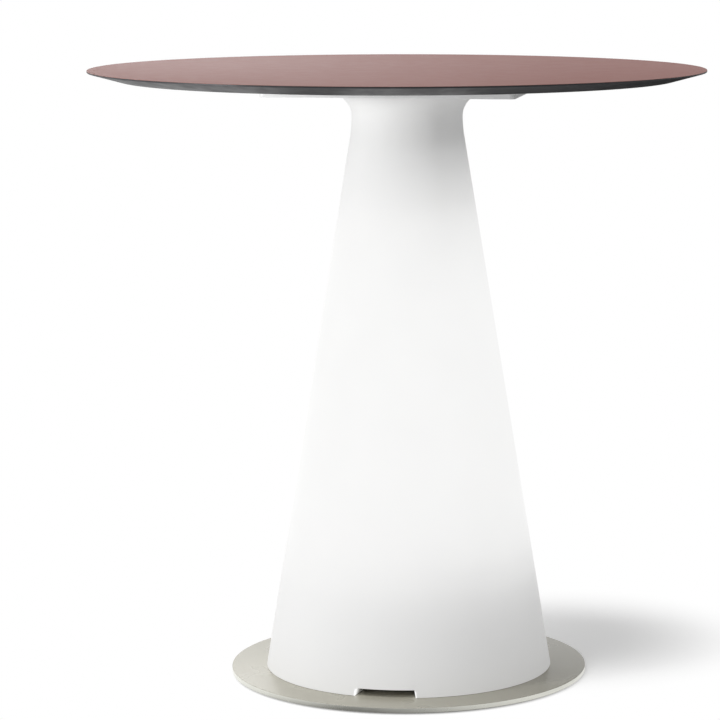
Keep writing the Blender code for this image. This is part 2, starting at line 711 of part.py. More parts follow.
def make_head_flange():
    """The top of the post, bolted to the head plate; its rim centres the cone's mouth."""
    spigot_end = HEAD_FLANGE_BOTTOM - HEAD_SPIGOT_LENGTH
    bore = ROD_RADIUS + ROD_HOLE_SLACK
    rim = flare_radius(HEAD_FLANGE_BOTTOM, CONE_WALL) - HEAD_FLANGE_CLEARANCE
    profile = [
        (bore, HEAD_FLANGE_TOP),
        (rim, HEAD_FLANGE_TOP),
        (rim, HEAD_FLANGE_BOTTOM + FLANGE_EDGE_BREAK),
        (rim - FLANGE_EDGE_BREAK, HEAD_FLANGE_BOTTOM),
        (SPIGOT_RADIUS, HEAD_FLANGE_BOTTOM),
        (SPIGOT_RADIUS, spigot_end),
        (bore, spigot_end),
    ]
    mesh = turned_mesh("head_flange", profile, POST_SEGMENTS, closed=True)
    head = put("head_flange", mesh, CAST_PAINT)
    below = HEAD_FLANGE_BOTTOM - CUT_OVERRUN
    above = HEAD_FLANGE_TOP + CUT_OVERRUN
    drill(head, "head_hole", PLATE_BOLT_RADIUS + SCREW_SLACK, below, above, plate_bolt_places())


def make_tie_rod():
    """The rod, its washer and its hexagon nut, which stand in the head plate's centre hole."""
    rod_bottom = BASE_FLANGE_TOP + BASE_SPIGOT_LENGTH - ROD_THREAD_DEPTH
    washer_bottom = HEAD_FLANGE_TOP + FIT_GAP
    washer_top = washer_bottom + WASHER_THICKNESS
    nut_bottom = washer_top + FIT_GAP
    nut_top = nut_bottom + NUT_HEIGHT
    put("tie_rod", rod_mesh("tie_rod", ROD_RADIUS, rod_bottom, nut_top + ROD_ABOVE_NUT), ZINC)
    bore = ROD_RADIUS + FIT_GAP
    profile = ring(bore, WASHER_RADIUS, washer_bottom, washer_top)
    put("rod_washer", turned_mesh("rod_washer", profile, 2 * SCREW_SEGMENTS, closed=True), ZINC)
    nut = put("rod_nut", rod_mesh("rod_nut", NUT_ACROSS_CORNERS / 2, nut_bottom, nut_top, 6), ZINC)
    cut(nut, rod_mesh("nut_bore", bore, nut_bottom - CUT_OVERRUN, nut_top + CUT_OVERRUN))


def make_locators():
    """Bent brackets screwed to the disc, leaning with the cone's inner face."""
    bottom = FLOOR_OF_COLUMN
    top = bottom + LOCATOR_HEIGHT
    step = bottom + LOCATOR_THICKNESS
    heel = cone_radius(bottom, CONE_WALL) - LOCATOR_GAP
    head = cone_radius(top, CONE_WALL) - LOCATOR_GAP
    elbow = cone_radius(step, CONE_WALL) - LOCATOR_GAP - LOCATOR_THICKNESS
    outline = [
        (heel - LOCATOR_FOOT, bottom),
        (heel, bottom),
        (head, top),
        (head - LOCATOR_THICKNESS, top),
        (elbow, step),
        (heel - LOCATOR_FOOT, step),
    ]
    bracket = outline_mesh("locator", [outline], -LOCATOR_WIDTH / 2, LOCATOR_WIDTH / 2)
    bracket.transform(Matrix.Rotation(math.pi / 2, 4, "X"))
    shank = LOCATOR_THICKNESS + FIT_GAP + LOCATOR_SCREW_BITE
    profile = screw_profile(
        LOCATOR_SCREW_RADIUS, shank, LOCATOR_SCREW_HEAD_RADIUS, LOCATOR_SCREW_HEAD_HEIGHT
    )
    screw = turned_mesh("locator_screw", profile, SCREW_SEGMENTS)
    screw.transform(Matrix.Rotation(math.pi, 4, "X"))
    seat = step + FIT_GAP + LOCATOR_SCREW_HEAD_HEIGHT
    hole = LOCATOR_SCREW_RADIUS + SCREW_SLACK
    for i, (x, y) in enumerate(locator_screw_places()):
        piece = put(f"locator_{i + 1}", bracket.copy(), ZINC)
        piece.rotation_euler.z = math.atan2(y, x)
        drill(piece, f"bracket_hole_{i + 1}", hole, bottom - CUT_OVERRUN, step + CUT_OVERRUN, [(x, y)])
        put(f"locator_screw_{i + 1}", screw, ZINC, (x, y, seat))


def locator_screw_radius():
    return cone_radius(FLOOR_OF_COLUMN, CONE_WALL) - LOCATOR_GAP - LOCATOR_FOOT / 2 - LOCATOR_THICKNESS


def locator_screw_places():
    return ring_places(LOCATOR_COUNT, locator_screw_radius(), math.pi / 2)


def seat_mesh(name):
    """Flange, square plug and round hub that centre the sleeve on the post, flange top at height 0."""
    width = 2 * (CARRIER_HALF + SEAT_MARGIN)
    flange = box_mesh(name, (width, width, SEAT_THICKNESS), (0.0, 0.0, -SEAT_THICKNESS / 2))
    piece = add_object(name, flange)
    plug_width = 2 * (CARRIER_HALF - CARRIER_WALL - FIT_GAP)
    sunk = SEAT_THICKNESS / 2
    plug_height = SEAT_PLUG_HEIGHT + sunk
    plug_middle = SEAT_PLUG_HEIGHT - plug_height / 2
    join(piece, box_mesh(f"{name}_plug", (plug_width, plug_width, plug_height), (0.0, 0.0, plug_middle)))
    hub_bottom = -SEAT_THICKNESS - SEAT_HUB_LENGTH
    join(piece, rod_mesh(f"{name}_hub", SEAT_HUB_RADIUS, hub_bottom, -sunk, 2 * SCREW_SEGMENTS))
    bottom = hub_bottom - CUT_OVERRUN
    top = SEAT_PLUG_HEIGHT + CUT_OVERRUN
    cut(piece, rod_mesh(f"{name}_bore", TUBE_RADIUS + FIT_GAP, bottom, top, POST_SEGMENTS))
    outside = SEAT_HUB_RADIUS + CUT_OVERRUN
    side_hole = rod_mesh(f"{name}_side_hole", SET_SCREW_RADIUS + SCREW_SLACK, 0.0, outside)
    side_hole.transform(Matrix.Rotation(math.pi / 2, 4, "X"))
    cut(piece, side_hole, (0.0, 0.0, -SEAT_THICKNESS - SEAT_HUB_LENGTH / 2))
    return baked(piece, name)


def square_ring(inner, outer):
    """Outlines of a square with a square hole, from their half widths."""
    return [[(half, half), (-half, half), (-half, -half), (half, -half)] for half in (outer, inner)]


def make_carrier():
    """The sleeve between its seat and its cap, which each have a set screw against the post."""
    loops = square_ring(CARRIER_HALF - CARRIER_WALL, CARRIER_HALF)
    put("led_carrier", outline_mesh("led_carrier", loops, CARRIER_BOTTOM, CARRIER_TOP), ALUMINIUM)
    put("carrier_seat", seat_mesh("carrier_seat"), ALUMINIUM, (0.0, 0.0, SEAT_TOP))
    cap_height = CARRIER_TOP + FIT_GAP
    cap = put("carrier_cap", seat_mesh("carrier_cap"), ALUMINIUM, (0.0, 0.0, cap_height))
    cap.rotation_euler.x = math.pi
    screw = rod_mesh("set_screw", SET_SCREW_RADIUS, TUBE_RADIUS + 2 * FIT_GAP, SEAT_HUB_RADIUS)
    screw.transform(Matrix.Rotation(math.pi / 2, 4, "X"))
    hub_middle = SEAT_THICKNESS + SEAT_HUB_LENGTH / 2
    put("seat_screw", screw, ZINC, (0.0, 0.0, SEAT_TOP - hub_middle))
    cap_screw = put("cap_screw", screw, ZINC, (0.0, 0.0, cap_height + hub_middle))
    cap_screw.rotation_euler.z = math.pi


def make_boards():
    """Four strips of lights, the square board that links them, and its connector."""
    length = BOARD_TOP - BOARD_BOTTOM
    face = CARRIER_HALF + FIT_GAP
    middle = (face + BOARD_THICKNESS / 2, 0.0, BOARD_BOTTOM + length / 2)
    strip = add_object("strip", box_mesh("strip", (BOARD_THICKNESS, BOARD_WIDTH, length), middle))
    chip_depth = CHIP_HEIGHT + CHIP_SINK
    chip_x = face + BOARD_THICKNESS + CHIP_HEIGHT - chip_depth / 2
    for i in range(CHIP_COUNT):
        place = (chip_x, 0.0, BOARD_BOTTOM + length * (i + 0.5) / CHIP_COUNT)
        join(strip, box_mesh(f"chip_{i + 1}", (chip_depth, CHIP_SIZE, CHIP_SIZE), place))
    mesh = baked(strip, "led_board")
    for i in range(BOARD_COUNT):
        put(f"led_board_{i + 1}", mesh, LIGHT_BOARD).rotation_euler.z = math.tau * i / BOARD_COUNT
    loops = square_ring(CARRIER_HALF + FIT_GAP, CARRIER_HALF + LINK_MARGIN)
    put("link_board", outline_mesh("link_board", loops, LINK_BOTTOM, LINK_TOP), LIGHT_BOARD)
    put("lead_connector", box_mesh("lead_connector", CONNECTOR_SIZE), WHITE_PLASTIC, connector_place())


def connector_place():
    """Middle of the connector, on the link board beside the strip that faces +X."""
    length, _, height = CONNECTOR_SIZE
    return CARRIER_HALF + 2 * FIT_GAP + length / 2, -CONNECTOR_SIDE, LINK_TOP + FIT_GAP + height / 2


def driver_screw_places():
    reach = DRIVER_LENGTH / 2 + DRIVER_EAR_LENGTH / 2
    return [(reach, DRIVER_MIDDLE), (-reach, DRIVER_MIDDLE)]


def make_driver_housing():
    """An open tub with two screw ears, two rails for the board, and holes for the gland and the lead."""
    bottom = FLOOR_OF_COLUMN
    size = (DRIVER_LENGTH, DRIVER_WIDTH, DRIVER_HEIGHT)
    housing = add_object("tub", box_mesh("tub", size, (0.0, 0.0, bottom + DRIVER_HEIGHT / 2)))
    cavity_height = DRIVER_HEIGHT - DRIVER_WALL + CUT_OVERRUN
    cavity_size = (DRIVER_LENGTH - 2 * DRIVER_WALL, DRIVER_WIDTH - 2 * DRIVER_WALL, cavity_height)
    cut(housing, box_mesh("driver_cavity", cavity_size, (0.0, 0.0, DRIVER_FLOOR + cavity_height / 2)))
    ear_size = (DRIVER_EAR_LENGTH + DRIVER_WALL / 2, DRIVER_EAR_WIDTH, DRIVER_EAR_THICKNESS)
    ear_reach = DRIVER_LENGTH / 2 + DRIVER_EAR_LENGTH - ear_size[0] / 2
    rail_size = (DRIVER_RAIL_WIDTH, DRIVER_WIDTH - DRIVER_WALL, DRIVER_RAIL_HEIGHT + DRIVER_WALL / 2)
    rail_middle = DRIVER_FLOOR + DRIVER_RAIL_HEIGHT - rail_size[2] / 2
    for side, mark in ((1.0, "right"), (-1.0, "left")):
        ear_place = (side * ear_reach, 0.0, bottom + DRIVER_EAR_THICKNESS / 2)
        join(housing, box_mesh(f"driver_ear_{mark}", ear_size, ear_place))
        rail_place = (side * DRIVER_RAIL_SPREAD / 2, 0.0, rail_middle)
        join(housing, box_mesh(f"driver_rail_{mark}", rail_size, rail_place))
    ear_top = bottom + DRIVER_EAR_THICKNESS + CUT_OVERRUN
    places = [(x, 0.0) for x, _ in driver_screw_places()]
    drill(housing, "ear_hole", DRIVER_SCREW_RADIUS + SCREW_SLACK, bottom - CUT_OVERRUN, ear_top, places)
    reach = DRIVER_WALL + CUT_OVERRUN
    gland_hole = rod_mesh("gland_hole", GLAND_THREAD_RADIUS + SCREW_SLACK, -reach, reach, 2 * SCREW_SEGMENTS)
    gland_hole.transform(Matrix.Rotation(math.pi / 2, 4, "X"))
    cut(housing, gland_hole, (0.0, -DRIVER_WIDTH / 2, GLAND_AXIS_HEIGHT))
    lead_hole = rod_mesh("lead_hole", LEAD_RADIUS + SCREW_SLACK, -reach, reach)
    lead_hole.transform(Matrix.Rotation(math.pi / 2, 4, "Y"))
    cut(housing, lead_hole, (DRIVER_LENGTH / 2, 0.0, DRIVER_TOP - LEAD_EXIT_DROP))
    put("driver_housing", baked(housing, "driver_housing"), BLACK_PLASTIC, (0.0, DRIVER_MIDDLE, 0.0))


def make_driver_inside():
    """The lid, and the board with its transformer and its capacitor."""
    lid = box_mesh("driver_lid", (DRIVER_LENGTH, DRIVER_WIDTH, DRIVER_LID))
    put("driver_lid", lid, BLACK_PLASTIC, (0.0, DRIVER_MIDDLE, DRIVER_TOP + FIT_GAP + DRIVER_LID / 2))
    bottom = DRIVER_FLOOR + DRIVER_RAIL_HEIGHT + FIT_GAP
    front = DRIVER_FRONT + DRIVER_WALL + GLAND_INSIDE_LENGTH + DRIVER_BOARD_MARGIN
    back = DRIVER_BACK - DRIVER_WALL - DRIVER_BOARD_MARGIN
    middle = (front + back) / 2
    length = DRIVER_LENGTH - 2 * (DRIVER_WALL + DRIVER_BOARD_MARGIN)
    board = box_mesh("driver_board", (length, back - front, DRIVER_BOARD_THICKNESS))
    put("driver_board", board, GREEN_BOARD, (0.0, middle, bottom + DRIVER_BOARD_THICKNESS / 2))
    seat = bottom + DRIVER_BOARD_THICKNESS + FIT_GAP
    transformer = box_mesh("driver_transformer", TRANSFORMER_SIZE)
    transformer_place = (TRANSFORMER_SIDE, middle, seat + TRANSFORMER_SIZE[2] / 2)
    put("driver_transformer", transformer, YELLOW_TAPE, transformer_place)
    capacitor = rod_mesh("driver_capacitor", CAPACITOR_RADIUS, 0.0, CAPACITOR_HEIGHT)
    put("driver_capacitor", capacitor, BLACK_PLASTIC, (-CAPACITOR_SIDE, middle, seat))


def make_driver_screws():
    shank = DRIVER_EAR_THICKNESS + FIT_GAP + DRIVER_SCREW_BITE
    profile = screw_profile(DRIVER_SCREW_RADIUS, shank, DRIVER_SCREW_HEAD_RADIUS, DRIVER_SCREW_HEAD_HEIGHT)
    screw = turned_mesh("driver_screw", profile, SCREW_SEGMENTS)
    screw.transform(Matrix.Rotation(math.pi, 4, "X"))
    seat = FLOOR_OF_COLUMN + DRIVER_EAR_THICKNESS + FIT_GAP + DRIVER_SCREW_HEAD_HEIGHT
    for i, (x, y) in enumerate(driver_screw_places()):
        put(f"driver_screw_{i + 1}", screw, ZINC, (x, y, seat))


def make_gland():
    """Turned about Z with its mouth up, then laid down to face the notch."""
    flange_end = FIT_GAP + GLAND_FLANGE_THICKNESS
    inside = -DRIVER_WALL - GLAND_INSIDE_LENGTH
    rounding = (GLAND_DOME_RADIUS - GLAND_BORE_RADIUS) / 2
    profile = [
        (GLAND_BORE_RADIUS, GLAND_LENGTH),
        (GLAND_DOME_RADIUS - rounding, GLAND_LENGTH),
        (GLAND_DOME_RADIUS, GLAND_LENGTH - rounding),
        (GLAND_DOME_RADIUS, flange_end),
        (GLAND_FLANGE_RADIUS, flange_end),
        (GLAND_FLANGE_RADIUS, FIT_GAP),
        (GLAND_THREAD_RADIUS, FIT_GAP),
        (GLAND_THREAD_RADIUS, inside),
        (GLAND_BORE_RADIUS, inside),
    ]
    gland = turned_mesh("cord_gland", profile, 2 * SCREW_SEGMENTS, closed=True)
    nut_top = -DRIVER_WALL - FIT_GAP
    nut_bore = GLAND_THREAD_RADIUS + FIT_GAP
    profile = ring(nut_bore, GLAND_NUT_RADIUS, nut_top - GLAND_NUT_THICKNESS, nut_top)
    nut = turned_mesh("gland_nut", profile, 2 * SCREW_SEGMENTS, closed=True)
    for name, mesh in (("cord_gland", gland), ("gland_nut", nut)):
        piece = put(name, mesh, BLACK_PLASTIC, (0.0, DRIVER_FRONT, GLAND_AXIS_HEIGHT))
        piece.rotation_euler.x = math.pi / 2


def make_led_lead():
    """From inside the driver's end, up past the seat's edge, and into the connector."""
    end_x, end_y, end_z = connector_place()
    end_x += CONNECTOR_SIZE[0] / 2 + FIT_GAP
    start_x = DRIVER_LENGTH / 2 - DRIVER_WALL - LEAD_INSIDE_LENGTH
    start_z = DRIVER_TOP - LEAD_EXIT_DROP
    out_x = DRIVER_LENGTH / 2 + LEAD_EXIT_STRAIGHT
    rise_x = end_x + LEAD_CLEAR_OF_SEAT
    route = [
        (start_x, DRIVER_MIDDLE, start_z),
        (out_x, DRIVER_MIDDLE, start_z),
        (rise_x, (end_y + DRIVER_MIDDLE) / 2, (start_z + end_z) / 2),
        (rise_x, end_y, end_z),
        (end_x, end_y, end_z),
    ]
    points = smooth_route([Vector(point) for point in route])
    curve = bpy.data.curves.new("led_lead", "CURVE")
    curve.dimensions = "3D"
    curve.bevel_depth = LEAD_RADIUS
    curve.bevel_resolution = 2
    curve.use_fill_caps = True
    spline = curve.splines.new("POLY")
    spline.points.add(len(points) - 1)
    for point, place in zip(spline.points, points):
        point.co = (*place, 1.0)
    lead = bpy.data.objects.new("led_lead", curve)
    PIECES.objects.link(lead)
    curve.materials.append(BLACK_PLASTIC)
    lead.parent = COLUMN


def smooth_route(route):
    """Points along a quadratic spline through the middles of the route's runs, ends kept straight."""
    middles = [(a + b) / 2 for a, b in zip(route, route[1:])]
    points = [route[0]]
    for start, corner, end in zip(middles, route[1:], middles[1:]):
        for i in range(LEAD_RESOLUTION + 1):
            t = i / LEAD_RESOLUTION
            place = start.lerp(corner, t).lerp(corner.lerp(end, t), t)
            if (place - points[-1]).length > LEAD_RADIUS:
                points.append(place)
    points.append(route[-1])
    return points


clear_scene()
PIECES = new_collection("light_up_table")
CUTTERS = new_collection("cutters")
CUTTERS.hide_render = True

LAMINATE = material("mauve_laminate", (0.37, 0.27, 0.25), 0.30)
CAST_PAINT = material("off_white_paint", (0.80, 0.80, 0.80), 0.45)
LIT_PLASTIC = material("lit_white_plastic", (0.92, 0.92, 0.91), 0.45, glow=0.5)
GREIGE_PAINT = material("greige_paint", (0.46, 0.45, 0.40), 0.35)
BLACK_STEEL = material("black_steel", (0.03, 0.03, 0.03), 0.45, metallic=0.3)
ZINC = material("zinc_plated_steel", (0.62, 0.63, 0.65), 0.35, metallic=1.0)
ALUMINIUM = material("aluminium", (0.80, 0.81, 0.82), 0.38, metallic=1.0)
GLIDE_PLASTIC = material("glide_plastic", (0.05, 0.05, 0.05), 0.60)
RUBBER = material("gasket_rubber", (0.42, 0.42, 0.41), 0.80)
BLACK_PLASTIC = material("black_plastic", (0.02, 0.02, 0.02), 0.50)
WHITE_PLASTIC = material("white_plastic", (0.85, 0.85, 0.83), 0.50)
LIGHT_BOARD = material("light_board", (0.90, 0.92, 0.90), 0.50, glow=2.0)
GREEN_BOARD = material("green_board", (0.03, 0.16, 0.07), 0.50)
YELLOW_TAPE = material("yellow_tape", (0.75, 0.60, 0.10), 0.55)

COLUMN = bpy.data.objects.new("column_axis", None)
PIECES.objects.link(COLUMN)
COLUMN.location.x = COLUMN_OFFSET_X

make_table_top()
make_top_plate()
make_plate_fasteners()
make_base_disc()
make_base_bolts()
make_glides()
make_light_column()
make_column_gasket()
make_base_flange()
make_centre_tube()
make_head_flange()
make_tie_rod()
make_locators()
make_carrier()
make_boards()
make_driver_housing()
make_driver_inside()
make_driver_screws()
make_gland()
make_led_lead()
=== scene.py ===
"""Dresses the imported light-up table: laminate top, glowing cone, head plate, disc, glides and light gear.

Every length is in metres, and every piece lies where its CAD node lies.
"""

import json
import math
from typing import NamedTuple

import bmesh
import bpy
import numpy as np
from bpy.props import FloatProperty, FloatVectorProperty, IntProperty, PointerProperty
from mathutils import Matrix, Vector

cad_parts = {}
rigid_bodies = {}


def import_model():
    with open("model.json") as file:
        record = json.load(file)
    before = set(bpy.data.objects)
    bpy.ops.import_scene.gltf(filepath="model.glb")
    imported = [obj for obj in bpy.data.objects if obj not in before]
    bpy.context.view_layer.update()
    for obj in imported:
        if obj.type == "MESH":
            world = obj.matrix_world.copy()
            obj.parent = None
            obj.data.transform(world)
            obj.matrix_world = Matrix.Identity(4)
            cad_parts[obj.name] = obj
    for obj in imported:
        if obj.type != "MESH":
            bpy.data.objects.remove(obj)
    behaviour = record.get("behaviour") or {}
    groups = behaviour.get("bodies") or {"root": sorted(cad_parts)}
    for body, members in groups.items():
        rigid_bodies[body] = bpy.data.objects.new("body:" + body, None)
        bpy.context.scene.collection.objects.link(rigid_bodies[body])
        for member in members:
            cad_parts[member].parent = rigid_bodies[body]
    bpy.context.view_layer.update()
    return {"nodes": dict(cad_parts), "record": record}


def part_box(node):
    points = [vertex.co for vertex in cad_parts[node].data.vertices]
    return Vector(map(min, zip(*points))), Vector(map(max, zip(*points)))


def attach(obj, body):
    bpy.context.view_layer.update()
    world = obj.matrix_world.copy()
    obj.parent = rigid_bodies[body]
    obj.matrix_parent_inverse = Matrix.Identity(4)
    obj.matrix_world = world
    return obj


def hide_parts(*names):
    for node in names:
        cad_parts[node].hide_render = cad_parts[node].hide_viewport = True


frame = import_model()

bl_info = {
    "name": "Light-up pedestal table",
    "version": (1, 0, 0),
    "blender": (4, 5, 0),
    "location": "3D View > Sidebar > Lit table",
    "description": "Builds the pieces, finishes and studio of a light-up pedestal table",
    "category": "Object",
}

MERGE_DISTANCE = 2e-6
CAD_MERGE_DISTANCE = 1e-5
FULL_TURN = 2 * math.pi


def low(node):
    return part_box(node)[0]


def high(node):
    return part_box(node)[1]


def half_width(node):
    return (high(node).x - low(node).x) / 2


def middle(node):
    """The middle of a CAD node as seen from above."""
    lowest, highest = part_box(node)
    return (lowest.x + highest.x) / 2, (lowest.y + highest.y) / 2


AXIS_X = middle("light_column")[0]


def length_setting(name, description, default):
    """A length that a user would change."""
    return FloatProperty(name=name, description=description, default=default, unit="LENGTH")


def angle_setting(name, description, degrees):
    """An angle that a user would change."""
    return FloatProperty(name=name, description=description, default=math.radians(degrees), unit="ROTATION")


def colour_setting(name, description, default):
    """A colour that a user would change."""
    return FloatVectorProperty(name=name, description=description, default=default, subtype="COLOR")


class TopSettings(bpy.types.PropertyGroup):
    """The round laminate top."""

    radius: length_setting("Radius", "Radius of the top's rim", half_width("table_top"))
    land: length_setting("Edge land", "Height of the upright part of the rim", 0.0020)
    bevel: length_setting("Under bevel", "Width of the bevel cut back underneath", 0.037)
    arris: length_setting("Arris", "Rounding of the rim's edges", 0.0003)
    segments: IntProperty(name="Segments", description="Faces round the rim", default=288, min=24)
    face: colour_setting("Face", "Colour of the decor layer", (0.272, 0.137, 0.122))
    core: colour_setting("Core", "Colour of the board's cut edge", (0.030, 0.030, 0.032))


class ConeSettings(bpy.types.PropertyGroup):
    """The lit moulded cone."""

    foot_radius: length_setting("Foot radius", "Outer radius at the foot", half_width("light_column"))
    neck_radius: length_setting("Neck radius", "Outer radius at the neck", 0.0668)
    neck_bend: length_setting("Neck bend", "Radius of the bend between flank and neck", 0.150)
    flare_bend: length_setting("Flare bend", "Radius of the trumpet over the neck", 0.026)
    lip_radius: length_setting("Lip radius", "Outer radius of the lip", 0.0900)
    lip_edge: length_setting("Lip edge", "Height of the lip's upright edge", 0.0022)
    wall: length_setting("Wall", "Thickness of the moulding", 0.0035)
    notch_width: length_setting("Notch width", "Width of the cable notch at the floor", 0.074)
    notch_height: length_setting("Notch height", "Height of the cable notch", 0.009)
    notch_taper: FloatProperty(
        name="Notch taper", description="Width of the notch's top as a share of its foot", default=0.95
    )
    tunnel_depth: length_setting("Tunnel depth", "How far the notch's walls run inwards", 0.027)
    tunnel_wall: length_setting("Tunnel wall", "Thickness of the notch's walls", 0.003)
    notch_glow: FloatProperty(
        name="Notch glow", description="Light from the walls of the notch against the foot's", default=4.6
    )
    glow_depth: length_setting("Glow depth", "How far into the tunnel its walls give light", 0.011)
    arris: length_setting("Arris", "Rounding of the edges", 0.0006)
    plastic: colour_setting("Plastic", "Colour of the unlit moulding", (0.90, 0.90, 0.895))
    glow: FloatProperty(name="Glow", description="Light given off where its share is one", default=0.97)


class DiscSettings(bpy.types.PropertyGroup):
    """The steel disc."""

    radius: length_setting("Radius", "Radius of the disc", half_width("base_disc"))
    edge: length_setting("Edge", "Rounding of the disc's edges", 0.0006)
    segments: IntProperty(name="Segments", description="Faces round the disc", default=288, min=24)
    paint: colour_setting("Paint", "Colour of the powder coat", (0.41, 0.394, 0.327))
    rim: colour_setting("Rim", "Colour of the smooth upright edge", (0.69, 0.69, 0.63))


class StudioSettings(bpy.types.PropertyGroup):
    """Light and camera."""

    azimuth: angle_setting("Azimuth", "Camera's turn round the column", 9.5)
    distance: length_setting("Distance", "Camera's distance from the column's axis", 3.6057)
    height: length_setting("Height", "Camera's height", 0.9272)
    pitch: angle_setting("Pitch", "How far the camera looks down", 8.5348)
    pan: angle_setting("Pan", "Camera's turn to the left of the column", -1.1772)
    lens: FloatProperty(name="Lens", description="Focal length on a 36 mm sensor", default=149.5)
    shift: FloatProperty(
        name="Shift", description="Sideways shift of the lens, in image widths", default=-0.151
    )
    ambient: FloatProperty(name="Ambient", description="Light from all round", default=0.44)
    slant: FloatProperty(
        name="Slant", description="How much brighter the left is than the middle", default=0.16
    )
    sun: FloatProperty(
        name="Sun", description="Strength of the broad light from above the left", default=1.5
    )
    side: FloatProperty(
        name="Side", description="Power of the small box at the front left", default=2.4, unit="POWER"
    )
    sheen: FloatProperty(
        name="Sheen", description="Power of the lamp that the top mirrors", default=7.4, unit="POWER"
    )


class TableSettings(bpy.types.PropertyGroup):
    """All sizes and colours of the table and its studio."""

    top: PointerProperty(type=TopSettings)
    cone: PointerProperty(type=ConeSettings)
    disc: PointerProperty(type=DiscSettings)
    studio: PointerProperty(type=StudioSettings)


# Surfaces


def eased(corners, reach, steps=4):
    """A profile with rounded corners.

    Round each corner c runs the curve (1-s)^2 a + 2s(1-s) c + s^2 b, for s from 0 to 1, where a and b lie
    the reach before and after the corner on its two sides. A reach of 0 leaves the corner as it is.
    """
    corners = np.asarray(corners, float)
    reach = np.broadcast_to(np.asarray(reach, float), len(corners))[:, None]
    back = np.roll(corners, 1, axis=0) - corners
    ahead = np.roll(corners, -1, axis=0) - corners
    a = corners + reach * back / np.linalg.norm(back, axis=1, keepdims=True)
    b = corners + reach * ahead / np.linalg.norm(ahead, axis=1, keepdims=True)
    s = np.linspace(0.0, 1.0, steps + 1)[None, :, None]
    curve = (1 - s) ** 2 * a[:, None] + 2 * s * (1 - s) * corners[:, None] + s**2 * b[:, None]
    return curve.reshape(-1, 2)


def arc(centre, radius, start, end, steps):
    """Points centre + radius (cos a, sin a), for a from start to end."""
    a = np.linspace(start, end, steps + 1)
    return np.stack([centre[0] + radius * np.cos(a), centre[1] + radius * np.sin(a)], axis=-1)


def line(start, end, steps):
    """Points start + t (end - start), for t from 0 to 1."""
    t = np.linspace(0.0, 1.0, steps + 1)[:, None]
    return np.asarray(start) + t * (np.asarray(end) - np.asarray(start))


def route(stops, steps):
    """Points on the lines from stop to stop, with a number of steps to each line, less the first stop."""
    lines = [line(start, end, count)[1:] for start, end, count in zip(stops, stops[1:], steps)]
    return np.concatenate(lines)


def turned(profile, segments, centre=(0.0, 0.0), facets=0):
    """A grid of points: the profile (r, z) carried round an upright axis, x = r cos a, y = r sin a.

    Where facets is an array of ones and zeros, one to a profile point, the points with a one lie on a hexagon
    of inradius r instead of a circle: r is divided by the cosine of the angle to the nearest side's middle.
    """
    profile = np.asarray(profile, float)
    a = np.linspace(0.0, FULL_TURN, segments, endpoint=False)[None, :]
    sixth = FULL_TURN / 6
    to_side = (a + sixth / 2) % sixth - sixth / 2
    hexagon = np.broadcast_to(np.asarray(facets, float), len(profile))[:, None]
    r = profile[:, :1] * (1 - hexagon + hexagon / np.cos(to_side))
    z = np.broadcast_to(profile[:, 1:], r.shape)
    return np.stack([centre[0] + r * np.cos(a), centre[1] + r * np.sin(a), z], axis=-1)


def skin(name, points, closed=False, sharp_angle=35.0, lit=None):
    """A closed mesh on a grid of points, rows by columns, one face to each four neighbours.

    The last column meets the first, and so do the rows when closed is set. Points that fall together, as at
    a pole or at a step between two forms, become one. Where lit is given, it says how strongly each point
    glows, and the mesh keeps it as an attribute.
    """
    rows, columns = points.shape[:2]
    index = np.arange(rows * columns).reshape(rows, columns)
    if closed:
        index = np.concatenate([index, index[:1]])
    beside = np.roll(index, -1, axis=1)
    faces = np.stack([index[:-1], index[1:], beside[1:], beside[:-1]], axis=-1).reshape(-1, 4)
    mesh = bpy.data.meshes.new(name)
    mesh.from_pydata(points.reshape(-1, 3), [], faces)
    if lit is not None:
        attribute = mesh.attributes.new("lit", "FLOAT", "POINT")
        attribute.data.foreach_set("value", lit.astype(float).ravel())
    tidy(mesh, sharp_angle)
    return mesh


def tidy(mesh, sharp_angle=35.0, flat_angle=0.0):
    """Merges points that fall together, turns the faces outwards and marks the sharp edges.

    Where flat_angle is given, faces that meet at less than it become one.
    """
    form = bmesh.new()
    form.from_mesh(mesh)
    bmesh.ops.remove_doubles(form, verts=form.verts, dist=MERGE_DISTANCE)
    bmesh.ops.dissolve_degenerate(form, edges=form.edges, dist=MERGE_DISTANCE)
    if flat_angle:
        limit = math.radians(flat_angle)
        bmesh.ops.dissolve_limit(form, angle_limit=limit, verts=form.verts, edges=form.edges)
    bmesh.ops.recalc_face_normals(form, faces=form.faces)
    form.to_mesh(mesh)
    form.free()
    mesh.shade_smooth()
    mesh.set_sharp_from_angle(angle=math.radians(sharp_angle))


def piece(name, mesh, body, node):
    """Puts a mesh into the scene as a piece that rides on a body and stands for a CAD node, in its finish."""
    obj = bpy.data.objects.new(name, mesh)
    bpy.context.scene.collection.objects.link(obj)
    finish, slot = finish_of(node)
    mesh.materials.clear()
    mesh.materials.append(finish)
    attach(obj, body)
    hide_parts(node)
    return obj


def soften(obj, width, segments=3, angle=50.0):
    """Rounds the edges that are sharper than an angle."""
    bevel = obj.modifiers.new("Arris", "BEVEL")
    bevel.limit_method = "ANGLE"
    bevel.angle_limit = math.radians(angle)
    bevel.width = width
    bevel.segments = segments
    bevel.harden_normals = True


def together(meshes, name):
    """One mesh of several."""
    form = bmesh.new()
    for mesh in meshes:
        form.from_mesh(mesh)
    joined = bpy.data.meshes.new(name)
    form.to_mesh(joined)
    form.free()
    bpy.data.batch_remove(meshes)
    return joined


